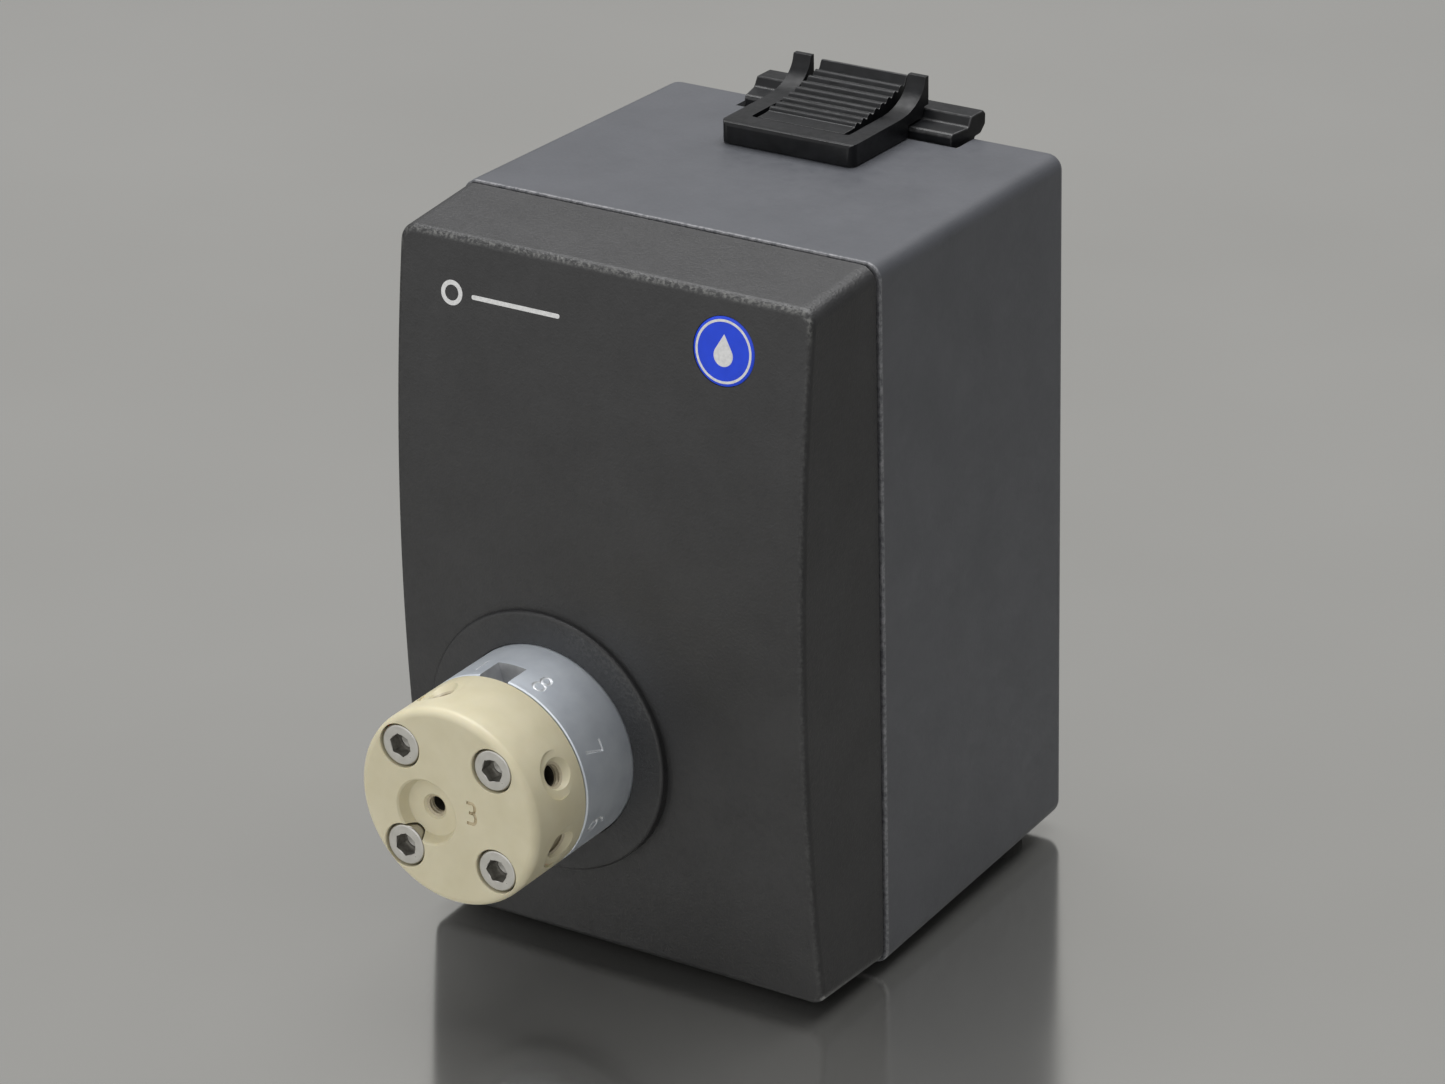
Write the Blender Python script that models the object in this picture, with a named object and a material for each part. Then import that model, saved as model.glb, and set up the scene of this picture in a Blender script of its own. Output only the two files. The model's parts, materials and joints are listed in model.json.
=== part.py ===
"""A motor-driven rotary valve module of a liquid chromatography system.

A grey housing and a dark bowed front cover hold a stepper gearmotor, a gear pair, the boards and the
valve head. Eight tube positions sit around the head's cream polymer stator. A black spring clip
on top releases the module from the rail that it hangs on.

All dimensions are millimetres in the seam frame: X to the right, Y back from the seam between cover
and housing, Z up from the housing's lower edge. new_object turns them into metres.
"""
import math

import bmesh
import bpy
from mathutils import Matrix, Vector

MM = 0.001

# Housing and cover
HOUSING_WIDTH = 88.0
HOUSING_HEIGHT = 137.4
HOUSING_DEPTH = 67.7
SIDE_DRAFT = 1.1
TOP_DRAFT = 1.2
BOTTOM_DRAFT = 1.4
EDGE_RADIUS = 3.0
WALL = 2.6
SEAM_HALF = 0.3
COVER_HALF_WIDTH = 43.6
COVER_DEPTH_TOP = 20.2
COVER_DEPTH_BOTTOM = 20.7
COVER_BOW = 5.2
COVER_TOP_DROP = 1.6
COVER_BOTTOM_RISE = 1.15
COVER_EDGE_RADIUS = 2.0
COVER_WALL = 2.5
CASE_SCREW_X = 36.0
CASE_SCREW_Z = (9.5, 127.0)
CASE_BOSS_RADIUS = 3.6
FOOT_HEIGHT = 1.6
FOOT_RADIUS = 5.0
FOOT_X = 34.0
FOOT_Y = (8.0, 57.0)

# Valve head
VALVE_X = -11.5
VALVE_Z = 43.5
HEAD_RADIUS = 19.05
BOSS_RADIUS = 25.4
BOSS_FACE_Y = -26.7
RING_FRONT_Y = -41.15
STATOR_REAR_Y = -41.45
STATOR_FRONT_Y = -57.0
STATOR_FILLET = 1.6
FLANGE_RADIUS = 25.2
FLANGE_SCREW_CIRCLE = 22.3
ROTOR_BORE = 11.0
STATOR_SCREW_CIRCLE = 14.0
SCREW_HEAD_RADIUS = 3.95
SCREW_HEAD_HEIGHT = 4.8
SCREW_HEAD_SINK = 0.3
PORT_Y = -47.7
PORT_RADIUS = 2.3
SIDE_PORT_ANGLES = (112.5, 157.5, 247.5, 292.5, 337.5, 22.5)
FRONT_PORT_ANGLE = 202.5
FRONT_PORT_OFFSET = 5.1
RECESS_RIM = 6.4
RECESS_FLOOR = 5.3
RECESS_DEPTH = 2.4
SHAFT_RADIUS = 4.0
SHAFT_BORE = 4.1

# Drive
GEAR_MODULE = 4.0 / 3.0
DRIVE_TEETH = 36
PINION_TEETH = 12
GEAR_FRONT_Y = 8.3
GEAR_REAR_Y = 13.7
MOTOR_Z = VALVE_Z + GEAR_MODULE * (DRIVE_TEETH + PINION_TEETH) / 2
CHASSIS_Y = (3.0, 6.0)
MOTOR_PLATE_Y = (17.0, 20.0)
STANDOFFS = ((-34.0, 18.0), (11.0, 18.0), (-34.0, 92.0), (11.0, 92.0))

# Rear connector plate
PLATE_Z = 103.0
PLATE_HALF_WIDTH = 24.0
PLATE_HALF_HEIGHT = 14.5
SOCKET_X = 13.0
SOCKET_RADIUS = 5.5
DIAL_RADIUS = 3.6

# Release clip, in its own frame: Y back from the clip's front, Z up from the housing's sloping top
CLIP_FRONT_Y = 39.8
CLIP_GAP = 0.3
CLIP_HALF_WIDTH = 14.3
ARM_INNER_X = 10.5
TONGUE_HALF_WIDTH = 9.3
CLIP_BAR_DEPTH = 4.6
CLIP_BASE_HEIGHT = 4.4
HORN_REAR = 26.6
HORN_TOP = 10.2
PIVOT_Y = 5.2
PIVOT_Z = 3.3
BAR_LEFT_X = -22.8
BAR_RIGHT_X = 24.0
POCKET_GAP = 0.55
POCKET_DEPTH = 3.9

# Badge
BADGE_X = 25.9
BADGE_Z = 125.6
BADGE_RADIUS = 5.9
BADGE_THICKNESS = 0.7

FRONT_Y = STATOR_FRONT_Y
REAR_Y = 70.85
CENTRE_Y = (FRONT_Y + REAR_Y) / 2

ROUND = 24
HEAD_ROUND = 40
SMALL_ROUND = 12


# ---------------------------------------------------------------- scene and materials

def clear_scene():
    for obj in list(bpy.data.objects):
        bpy.data.objects.remove(obj, do_unlink=True)


def material(name, colour, roughness, metallic=0.0):
    found = bpy.data.materials.get(name)
    if found:
        return found
    made = bpy.data.materials.new(name)
    made.use_nodes = True
    shader = made.node_tree.nodes["Principled BSDF"]
    shader.inputs["Base Color"].default_value = (*colour, 1.0)
    shader.inputs["Roughness"].default_value = roughness
    shader.inputs["Metallic"].default_value = metallic
    made.diffuse_color = (*colour, 1.0)
    return made


def housing_paint():
    return material("housing_paint", (0.10, 0.105, 0.115), 0.5)


def cover_plastic():
    return material("cover_plastic", (0.028, 0.028, 0.030), 0.55)


def clip_plastic():
    return material("clip_plastic", (0.012, 0.012, 0.013), 0.5)


def stator_polymer():
    return material("stator_polymer", (0.66, 0.61, 0.42), 0.45)


def aluminium():
    return material("aluminium", (0.60, 0.62, 0.65), 0.3, 1.0)


def steel():
    return material("steel", (0.62, 0.61, 0.58), 0.25, 1.0)


def rubber():
    return material("rubber", (0.02, 0.02, 0.02), 0.8)


def dark_plastic():
    return material("dark_plastic", (0.03, 0.03, 0.035), 0.4)


def board_green():
    return material("board_green", (0.02, 0.16, 0.07), 0.4)


def brass():
    return material("brass", (0.72, 0.52, 0.22), 0.3, 1.0)


def badge_blue():
    return material("badge_blue", (0.02, 0.06, 0.42), 0.35)


def new_frame(name, location, parent=None, tilt=0.0):
    """An empty that parts are placed on: location in millimetres, tilt about X in radians."""
    frame = bpy.data.objects.new(name, None)
    bpy.context.collection.objects.link(frame)
    frame.parent = parent
    frame.location = Vector(location) * MM
    frame.rotation_euler = (tilt, 0.0, 0.0)
    return frame


def new_object(name, bm, finish, frame, location=(0.0, 0.0, 0.0), rotation=(0.0, 0.0, 0.0), sharp=35.0):
    """Turn a bmesh drawn in millimetres into a named object on a frame."""
    bmesh.ops.recalc_face_normals(bm, faces=bm.faces)
    bmesh.ops.scale(bm, vec=(MM, MM, MM), verts=bm.verts)
    mesh = bpy.data.meshes.new(name)
    bm.to_mesh(mesh)
    bm.free()
    mesh.shade_smooth()
    mesh.set_sharp_from_angle(angle=math.radians(sharp))
    if finish:
        mesh.materials.append(finish)
    obj = bpy.data.objects.new(name, mesh)
    bpy.context.collection.objects.link(obj)
    obj.parent = frame
    obj.location = Vector(location) * MM
    obj.rotation_euler = rotation
    return obj


def boolean(target, name, bm, operation="DIFFERENCE"):
    """Cut or join a hidden helper shape, drawn in the target's own frame."""
    helper = new_object(name, bm, None, target.parent, rotation=target.rotation_euler)
    helper.location = target.location
    helper.hide_render = True
    helper.display_type = "WIRE"
    step = target.modifiers.new(name, "BOOLEAN")
    step.operation = operation
    step.solver = "EXACT"
    step.object = helper


# ---------------------------------------------------------------- shapes

def add_prism(bm, outline, low, high, axis="Y"):
    """Extrude a closed outline along an axis. Its points are (X, Z) for Y, (Y, Z) for X, (X, Y) for Z."""
    place = {
        "Y": lambda a, b, c: (a, c, b),
        "X": lambda a, b, c: (c, a, b),
        "Z": lambda a, b, c: (a, b, c),
    }[axis]
    near = [bm.verts.new(place(a, b, low)) for a, b in outline]
    far = [bm.verts.new(place(a, b, high)) for a, b in outline]
    count = len(outline)
    faces = [bm.faces.new(near[::-1]), bm.faces.new(far)]
    for i in range(count):
        j = (i + 1) % count
        faces.append(bm.faces.new((near[i], near[j], far[j], far[i])))
    bmesh.ops.recalc_face_normals(bm, faces=faces)
    return near + far


def add_box(bm, x, y, z):
    outline = [(x[0], z[0]), (x[1], z[0]), (x[1], z[1]), (x[0], z[1])]
    return add_prism(bm, outline, y[0], y[1])


def circle(radius, centre=(0.0, 0.0), count=ROUND, start=0.0, sweep=360.0):
    """Points round a circle; a part sweep includes both of its ends."""
    closed = abs(sweep) >= 360.0
    steps = count if closed else count - 1
    points = []
    for i in range(count):
        angle = math.radians(start + sweep * i / steps)
        points.append((centre[0] + radius * math.cos(angle), centre[1] + radius * math.sin(angle)))
    return points


def add_cylinder(bm, radius, low, high, centre=(0.0, 0.0), count=ROUND, axis="Y"):
    return add_prism(bm, circle(radius, centre, count), low, high, axis)


def add_turned(bm, profile, centre=(0.0, 0.0), count=ROUND):
    """Turn a closed (radius, Y) profile about a line along Y through centre (X, Z)."""
    rings = []
    for radius, y in profile:
        if radius == 0.0:
            rings.append([bm.verts.new((centre[0], y, centre[1]))] * count)
            continue
        rings.append([bm.verts.new((x, y, z)) for x, z in circle(radius, centre, count)])
    faces = []
    for k, ring in enumerate(rings):
        following = rings[(k + 1) % len(rings)]
        for i in range(count):
            j = (i + 1) % count
            corners = []
            for vert in (ring[i], ring[j], following[j], following[i]):
                if vert not in corners:
                    corners.append(vert)
            if len(corners) > 2:
                faces.append(bm.faces.new(corners))
    bmesh.ops.recalc_face_normals(bm, faces=faces)
    verts = []
    for ring in rings:
        verts.extend(ring)
    return list(dict.fromkeys(verts))


def washer(bm, inner, outer, low, high, count=ROUND):
    return add_turned(bm, [(inner, low), (outer, low), (outer, high), (inner, high)], count=count)


def bevel_where(bm, test, width, segments):
    """Round the edges whose two ends both pass the test."""
    edges = [e for e in bm.edges if test(e.verts[0].co, e.verts[1].co) and e.calc_face_angle(0.0) > 0.5]
    bmesh.ops.bevel(bm, geom=edges, offset=width, segments=segments, affect="EDGES", profile=0.5)


def polar(radius, degrees):
    angle = math.radians(degrees)
    return radius * math.cos(angle), radius * math.sin(angle)


def gear_outline(teeth, phase):
    """An involute-like outline: a root, pitch and tip point on each side of a tooth."""
    pitch = GEAR_MODULE * teeth / 2
    half_tooth = 360.0 / teeth / 4 * 0.92
    levels = ((pitch - 1.25 * GEAR_MODULE, 1.45), (pitch, 1.0), (pitch + 0.95 * GEAR_MODULE, 0.42))
    points = []
    for tooth in range(teeth):
        middle = phase + 360.0 * tooth / teeth
        for radius, share in levels:
            points.append(polar(radius, middle - half_tooth * share))
        for radius, share in reversed(levels):
            points.append(polar(radius, middle + half_tooth * share))
    return points


# ---------------------------------------------------------------- casing

def tapered_shell(inset):
    """The housing's drafted body, or its hollow when inset is the wall; the front is open-ended."""
    bm = bmesh.new()
    half = HOUSING_WIDTH / 2 - inset
    front = SEAM_HALF if inset == 0.0 else -5.0
    rear = HOUSING_DEPTH - inset
    corners = []
    for y in (front, rear):
        share = y / HOUSING_DEPTH
        low = inset + BOTTOM_DRAFT * share
        high = HOUSING_HEIGHT - inset - TOP_DRAFT * share
        side = half - SIDE_DRAFT * share
        corners.append([bm.verts.new(p) for p in (
            (-side, y, low), (side, y, low), (side, y, high), (-side, y, high))])
    near, far = corners
    bm.faces.new(near[::-1])
    bm.faces.new(far)
    for i in range(4):
        j = (i + 1) % 4
        bm.faces.new((near[i], near[j], far[j], far[i]))
    bmesh.ops.recalc_face_normals(bm, faces=bm.faces)
    radius = EDGE_RADIUS if inset == 0.0 else EDGE_RADIUS - inset + 0.8
    bevel_where(bm, lambda a, b: a.y > front + 1.0 or b.y > front + 1.0, radius, 4)
    return bm


def case_screw_places():
    return [(x, z) for z in CASE_SCREW_Z for x in (-CASE_SCREW_X, CASE_SCREW_X)]


def make_housing(frame):
    housing = new_object("housing_shell", tapered_shell(0.0), housing_paint(), frame)
    boolean(housing, "housing_hollow", tapered_shell(WALL))
    bosses = bmesh.new()
    for x, z in case_screw_places():
        add_cylinder(bosses, CASE_BOSS_RADIUS, 6.3, HOUSING_DEPTH - 1.5, (x, z), SMALL_ROUND)
    boolean(housing, "housing_bosses", bosses, "UNION")
    ribs = bmesh.new()
    for x in (-1.0, 1.0):
        side = sorted((x * (CASE_SCREW_X + 2.4), x * (HOUSING_WIDTH / 2 - 2.0)))
        for z in CASE_SCREW_Z:
            add_box(ribs, side, (8.0, HOUSING_DEPTH - 1.7), (z - 0.8, z + 0.8))
    boolean(housing, "housing_ribs", ribs, "UNION")
    tray = bmesh.new()
    add_box(tray, (BAR_LEFT_X - 3.4, BAR_RIGHT_X + 3.4), (CLIP_FRONT_Y + 16.6, HOUSING_DEPTH - 1.0),
            (HOUSING_HEIGHT - 8.2, HOUSING_HEIGHT - 3.0))
    for y, z in board_corners():
        add_cylinder(tray, 2.6, 35.5, HOUSING_WIDTH / 2 - 2.0, (y, z), 12, "X")
    boolean(housing, "housing_tray", tray, "UNION")
    holes = bmesh.new()
    for x, z in case_screw_places():
        add_turned(holes, [(0.0, 0.0), (1.9, 0.0), (1.9, HOUSING_DEPTH - 4.0), (3.4, HOUSING_DEPTH - 4.0),
                           (3.4, HOUSING_DEPTH + 2.0), (0.0, HOUSING_DEPTH + 2.0)], (x, z), SMALL_ROUND)
    add_box(holes, (-PLATE_HALF_WIDTH - 0.4, PLATE_HALF_WIDTH + 0.4), (HOUSING_DEPTH - 1.6, HOUSING_DEPTH + 2.0),
            (PLATE_Z - PLATE_HALF_HEIGHT - 0.4, PLATE_Z + PLATE_HALF_HEIGHT + 0.4))
    boolean(housing, "housing_holes", holes)
    window = bmesh.new()
    window_x = SOCKET_X + SOCKET_RADIUS + 0.4
    add_box(window, (-window_x, window_x), (HOUSING_DEPTH - 8.0, HOUSING_DEPTH - 1.0),
            (PLATE_Z - PLATE_HALF_HEIGHT + 2.5, PLATE_Z + PLATE_HALF_HEIGHT - 2.5))
    for x, z in plate_screw_places():
        add_cylinder(window, 1.4, HOUSING_DEPTH - 6.0, HOUSING_DEPTH - 1.0, (x, z), 12)
    for x in (-1.0, 1.0):
        add_cylinder(window, 1.6, HOUSING_HEIGHT - 8.0, HOUSING_HEIGHT + 3.0,
                     (x * 12.4, CLIP_FRONT_Y + 8.0), 12, "Z")
    boolean(housing, "housing_window", window)
    return housing


def cut_catch_pocket(housing, clip_frame):
    """The pocket in the housing's top that the catch bar sinks into, drawn in the clip's frame."""
    bm = bmesh.new()
    add_box(bm, (BAR_LEFT_X - POCKET_GAP, BAR_RIGHT_X + POCKET_GAP), (20.0 - POCKET_GAP, 40.0),
            (-POCKET_DEPTH, 6.0))
    cutter = new_object("catch_pocket", bm, None, clip_frame)
    cutter.hide_render = True
    cutter.display_type = "WIRE"
    step = housing.modifiers.new("catch_pocket", "BOOLEAN")
    step.operation = "DIFFERENCE"
    step.solver = "EXACT"
    step.object = cutter


def cover_front_y(z):
    """The bowed front face's Y at height z."""
    low = COVER_BOTTOM_RISE
    high = HOUSING_HEIGHT - COVER_TOP_DROP
    share = (z - low) / (high - low)
    chord = -COVER_DEPTH_BOTTOM + (COVER_DEPTH_BOTTOM - COVER_DEPTH_TOP) * share
    return chord - 4.0 * COVER_BOW * share * (1.0 - share)


def cover_side_outline(inset, rear_y, steps):
    """The cover's side view as (Y, Z) points: two rear corners and the bowed front."""
    low = COVER_BOTTOM_RISE
    high = HOUSING_HEIGHT - COVER_TOP_DROP
    points = [(rear_y, 0.5 + inset), (rear_y, HOUSING_HEIGHT - 0.22 - inset)]
    for i in range(steps + 1):
        z = high + (low - high) * i / steps
        inner_z = min(max(z, low + inset), high - inset)
        points.append((cover_front_y(inner_z) + inset, inner_z))
    return points


def hollow_cover(cover, name, half_width, inset, rear_y):
    bm = bmesh.new()
    outline = list(dict.fromkeys(cover_side_outline(inset, rear_y, 16)))
    add_prism(bm, outline, -half_width, half_width, "X")
    boolean(cover, name, bm)


def make_cover(frame):
    outer = bmesh.new()
    add_prism(outer, cover_side_outline(0.0, -SEAM_HALF, 16), -COVER_HALF_WIDTH, COVER_HALF_WIDTH, "X")
    bevel_where(outer, lambda a, b: a.y < -5.0 or b.y < -5.0, COVER_EDGE_RADIUS, 3)
    cover = new_object("front_cover", outer, cover_plastic(), frame)
    recess = bmesh.new()
    slope = cover_tilt(BADGE_Z)
    verts = add_cylinder(recess, BADGE_RADIUS + 0.3, -3.0, BADGE_THICKNESS + 0.2, count=28)
    bmesh.ops.rotate(recess, verts=verts, cent=(0.0, 0.0, 0.0), matrix=Matrix.Rotation(slope, 3, "X"))
    bmesh.ops.translate(recess, verts=verts, vec=(BADGE_X, cover_front_y(BADGE_Z), BADGE_Z))
    boolean(cover, "cover_badge_recess", recess)
    boss = bmesh.new()
    add_turned(boss, [(0.0, -21.9), (BOSS_RADIUS, -21.9), (BOSS_RADIUS, BOSS_FACE_Y + 0.4),
                      (BOSS_RADIUS - 0.4, BOSS_FACE_Y), (0.0, BOSS_FACE_Y)], (VALVE_X, VALVE_Z), HEAD_ROUND)
    boolean(cover, "cover_boss", boss, "UNION")
    lip_x = HOUSING_WIDTH / 2 - WALL - 0.4
    lip_z = (WALL + 0.5, HOUSING_HEIGHT - WALL - 0.5)
    lip = bmesh.new()
    add_box(lip, (-lip_x, lip_x), (-3.5, 2.4), lip_z)
    boolean(cover, "cover_lip", lip, "UNION")
    hollow_cover(cover, "cover_hollow", COVER_HALF_WIDTH - COVER_WALL, COVER_WALL, -3.0)
    hollow_cover(cover, "cover_mouth", lip_x - 1.6, COVER_WALL + 2.1, 6.0)
    posts = bmesh.new()
    bores = bmesh.new()
    for x, z in case_screw_places():
        add_cylinder(posts, CASE_BOSS_RADIUS, cover_front_y(z) + 1.2, 2.7, (x, z), SMALL_ROUND)
        add_cylinder(bores, 1.8, -14.0, 5.0, (x, z), SMALL_ROUND)
    boolean(cover, "cover_posts", posts, "UNION")
    add_cylinder(bores, HEAD_RADIUS + 0.45, -40.0, 4.0, (VALVE_X, VALVE_Z), HEAD_ROUND)
    boolean(cover, "cover_bores", bores)
    return cover


def cover_tilt(z):
    """How far the bowed front leans about X at height z, in radians."""
    return -math.atan((cover_front_y(z + 0.5) - cover_front_y(z - 0.5)))


def make_badge(frame):
    bm = bmesh.new()
    add_turned(bm, [(0.0, -0.1), (BADGE_RADIUS - 0.15, -0.1), (BADGE_RADIUS, 0.05),
                    (BADGE_RADIUS, BADGE_THICKNESS - 0.15), (0.0, BADGE_THICKNESS - 0.15)], count=28)
    place = (BADGE_X, cover_front_y(BADGE_Z), BADGE_Z)
    new_object("badge_disc", bm, badge_blue(), frame, place, (cover_tilt(BADGE_Z), 0.0, 0.0))


def make_feet(frame):
    for row, y in zip(("front", "rear"), FOOT_Y):
        top = BOTTOM_DRAFT * (y - FOOT_RADIUS) / HOUSING_DEPTH - 0.3
        for side, x in (("left", -FOOT_X), ("right", FOOT_X)):
            bm = bmesh.new()
            add_cylinder(bm, FOOT_RADIUS, -FOOT_HEIGHT, top, (0.0, 0.0), 20, "Z")
            new_object(f"foot_{row}_{side}", bm, rubber(), frame, (x, y, 0.0))


def socket_screw(bm, head_radius, head_height, shank_radius, shank_end, hex_flats, hex_depth, per_flat=2):
    """A cap screw along +Y from its head's face at Y = 0.

    The head has per_flat sides for each flat of its hexagon socket.
    """
    count = 6 * per_flat
    inner = circle(hex_flats / math.sqrt(3.0), count=6)
    head = [bm.verts.new((x, 0.0, z)) for x, z in circle(head_radius - 0.35, count=count)]
    edge = [bm.verts.new((x, 0.35, z)) for x, z in circle(head_radius, count=count)]
    under = [bm.verts.new((x, head_height, z)) for x, z in circle(head_radius, count=count)]
    neck = [bm.verts.new((x, head_height, z)) for x, z in circle(shank_radius, count=count)]
    tip = [bm.verts.new((x, shank_end, z)) for x, z in circle(shank_radius, count=count)]
    mouth = [bm.verts.new((x, 0.0, z)) for x, z in inner]
    floor = [bm.verts.new((x, hex_depth, z)) for x, z in inner]
    for low, high in ((head, edge), (edge, under), (under, neck), (neck, tip)):
        for i in range(count):
            j = (i + 1) % count
            bm.faces.new((low[i], low[j], high[j], high[i]))
    bm.faces.new(tip)
    bm.faces.new(floor)
    for i in range(6):
        j = (i + 1) % 6
        bm.faces.new((mouth[i], mouth[j], floor[j], floor[i]))
        rim = [head[(i * per_flat + k) % count] for k in range(per_flat + 1)]
        bm.faces.new([mouth[j], mouth[i], *rim])


def make_case_screws(frame):
    for number, (x, z) in enumerate(case_screw_places(), 1):
        bm = bmesh.new()
        socket_screw(bm, 2.75, 3.0, 1.5, 74.0, 2.5, 1.6)
        place = (x, HOUSING_DEPTH - 0.8, z)
        new_object(f"case_screw_{number}", bm, steel(), frame, place, (0.0, 0.0, math.pi))


# ---------------------------------------------------------------- valve head

def make_ring(frame):
    bm = bmesh.new()
    add_turned(bm, [
        (ROTOR_BORE, RING_FRONT_Y), (HEAD_RADIUS - 0.35, RING_FRONT_Y), (HEAD_RADIUS, RING_FRONT_Y + 0.35),
        (HEAD_RADIUS, -1.3), (FLANGE_RADIUS, -1.3), (FLANGE_RADIUS, 2.7), (8.35, 2.7), (8.35, -21.1),
        (ROTOR_BORE, -21.1)], count=HEAD_ROUND)
    ring = new_object("valve_body_ring", bm, aluminium(), frame)
    cuts = bmesh.new()
    for k in range(4):
        add_cylinder(cuts, 2.5, RING_FRONT_Y - 3.0, -28.0, polar(STATOR_SCREW_CIRCLE, 45 + 90 * k), 12)
    for k in range(3):
        add_cylinder(cuts, 1.8, -3.0, 5.0, polar(FLANGE_SCREW_CIRCLE, 90 + 120 * k), 12)
    notch = [(3.0, 22.0), (2.6, 18.0), (1.6, 14.5), (-1.8, 14.5), (-3.2, 18.0), (-3.6, 22.0)]
    add_prism(cuts, notch, RING_FRONT_Y - 3.0, -35.3)
    boolean(ring, "ring_cuts", cuts)
    return ring


def make_stator(frame):
    bm = bmesh.new()
    profile = [(0.0, -39.3), (10.4, -39.3), (10.4, STATOR_REAR_Y), (HEAD_RADIUS - 0.3, STATOR_REAR_Y),
               (HEAD_RADIUS, STATOR_REAR_Y - 0.3)]
    for degrees in (0, 30, 60, 90):
        dr, dy = polar(STATOR_FILLET, degrees)
        profile.append((HEAD_RADIUS - STATOR_FILLET + dr, STATOR_FRONT_Y + STATOR_FILLET - dy))
    profile.append((0.0, STATOR_FRONT_Y))
    add_turned(bm, profile, count=HEAD_ROUND)
    stator = new_object("stator_block", bm, stator_polymer(), frame)
    screws = bmesh.new()
    sink = STATOR_FRONT_Y + SCREW_HEAD_SINK + SCREW_HEAD_HEIGHT + 0.3
    for k in range(4):
        add_turned(screws, [(0.0, -60.0), (4.25, -60.0), (4.25, sink), (2.5, sink), (2.5, -36.0), (0.0, -36.0)],
                   polar(STATOR_SCREW_CIRCLE, 45 + 90 * k), 14)
    boolean(stator, "stator_screw_holes", screws)
    front = bmesh.new()
    floor_y = STATOR_FRONT_Y + RECESS_DEPTH
    slope = (RECESS_RIM - RECESS_FLOOR) / RECESS_DEPTH
    add_turned(front, [(0.0, STATOR_FRONT_Y - 1.0), (RECESS_RIM + slope, STATOR_FRONT_Y - 1.0),
                       (RECESS_FLOOR, floor_y), (PORT_RADIUS, floor_y), (PORT_RADIUS, floor_y + 8.0),
                       (0.0, floor_y + 9.4)], polar(FRONT_PORT_OFFSET, FRONT_PORT_ANGLE), 16)
    boolean(stator, "stator_front_port", front)
    ports = bmesh.new()
    spots = bmesh.new()
    for degrees in SIDE_PORT_ANGLES:
        turn = Matrix.Rotation(math.radians(90.0 - degrees), 4, "Y")
        tilt = Matrix.Translation((0.0, PORT_Y + 3.2, HEAD_RADIUS)) @ Matrix.Rotation(math.radians(10.0), 4, "X")
        verts = add_cylinder(ports, PORT_RADIUS, 9.6, HEAD_RADIUS + 3.0, (0.0, PORT_Y), 10, "Z")
        bmesh.ops.transform(ports, matrix=turn, verts=verts)
        verts = add_cylinder(spots, 4.3, 0.0, 4.0, (0.0, -3.2), 14, "Z")
        bmesh.ops.transform(spots, matrix=turn @ tilt, verts=verts)
    boolean(stator, "stator_side_ports", ports)
    boolean(stator, "stator_spot_faces", spots)
    return stator


def make_stator_screws(frame):
    for k in range(4):
        bm = bmesh.new()
        socket_screw(bm, SCREW_HEAD_RADIUS, SCREW_HEAD_HEIGHT, 2.2, 27.5, 4.0, 2.6)
        x, z = polar(STATOR_SCREW_CIRCLE, 45 + 90 * k)
        place = (x, STATOR_FRONT_Y + SCREW_HEAD_SINK, z)
        new_object(f"stator_screw_{k + 1}", bm, steel(), frame, place)


def make_distribution_plate(frame):
    bm = bmesh.new()
    add_turned(bm, [(0.0, -39.0), (10.6, -39.0), (10.6, -36.0), (0.0, -36.0)])
    plate = new_object("distribution_plate", bm, stator_polymer(), frame)
    holes = bmesh.new()
    for k in range(8):
        add_cylinder(holes, 0.6, -42.0, -33.0, polar(6.0, 22.5 + 45 * k), 6)
    boolean(plate, "distribution_holes", holes)


def make_channel_plate(frame):
    bm = bmesh.new()
    add_turned(bm, [(0.0, -35.7), (10.4, -35.7), (10.4, -32.2), (0.0, -32.2)])
    plate = new_object("channel_plate", bm, dark_plastic(), frame)
    cuts = bmesh.new()
    for k in range(3):
        start = 22.5 + 120 * k
        arc = circle(6.5, count=5, start=start, sweep=45.0)
        arc += circle(5.5, count=5, start=start + 45.0, sweep=-45.0)
        add_prism(cuts, arc, -37.0, -34.9)
    for x in (-7.0, 7.0):
        add_cylinder(cuts, 1.3, -34.5, -30.0, (x, 0.0), 12)
    boolean(plate, "channel_cuts", cuts)


def make_rotor_shaft(frame):
    bm = bmesh.new()
    add_turned(bm, [(0.0, -31.9), (10.4, -31.9), (10.4, -27.9), (SHAFT_RADIUS, -27.9), (SHAFT_RADIUS, 29.5),
                    (SHAFT_RADIUS - 0.6, 30.1), (0.0, 30.1)])
    shaft = new_object("rotor_shaft", bm, steel(), frame)
    pins = bmesh.new()
    for x in (-7.0, 7.0):
        add_cylinder(pins, 1.0, -34.1, -30.0, (x, 0.0), 12)
    boolean(shaft, "rotor_pins", pins, "UNION")


def make_disc_spring(name, frame, front, cone):
    bm = bmesh.new()
    add_turned(bm, [(4.5, front + max(0.0, -cone)), (9.5, front + max(0.0, cone)),
                    (9.5, front + max(0.0, cone) + 0.5), (4.5, front + max(0.0, -cone) + 0.5)])
    new_object(name, bm, steel(), frame)


def make_thrust_bearing(frame):
    bm = bmesh.new()
    add_turned(bm, [(4.5, -24.6), (10.5, -24.6), (10.5, -23.7), (9.9, -23.7), (9.9, -22.3), (10.5, -22.3),
                    (10.5, -21.4), (4.5, -21.4)])
    new_object("thrust_bearing", bm, steel(), frame)


def make_shaft_bearing(frame):
    bm = bmesh.new()
    add_turned(bm, [(SHAFT_BORE, -12.0), (5.2, -12.0), (5.2, -11.4), (6.9, -11.4), (6.9, -12.0), (8.05, -12.0),
                    (8.05, -7.0), (SHAFT_BORE, -7.0)])
    new_object("shaft_bearing", bm, steel(), frame)


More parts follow.
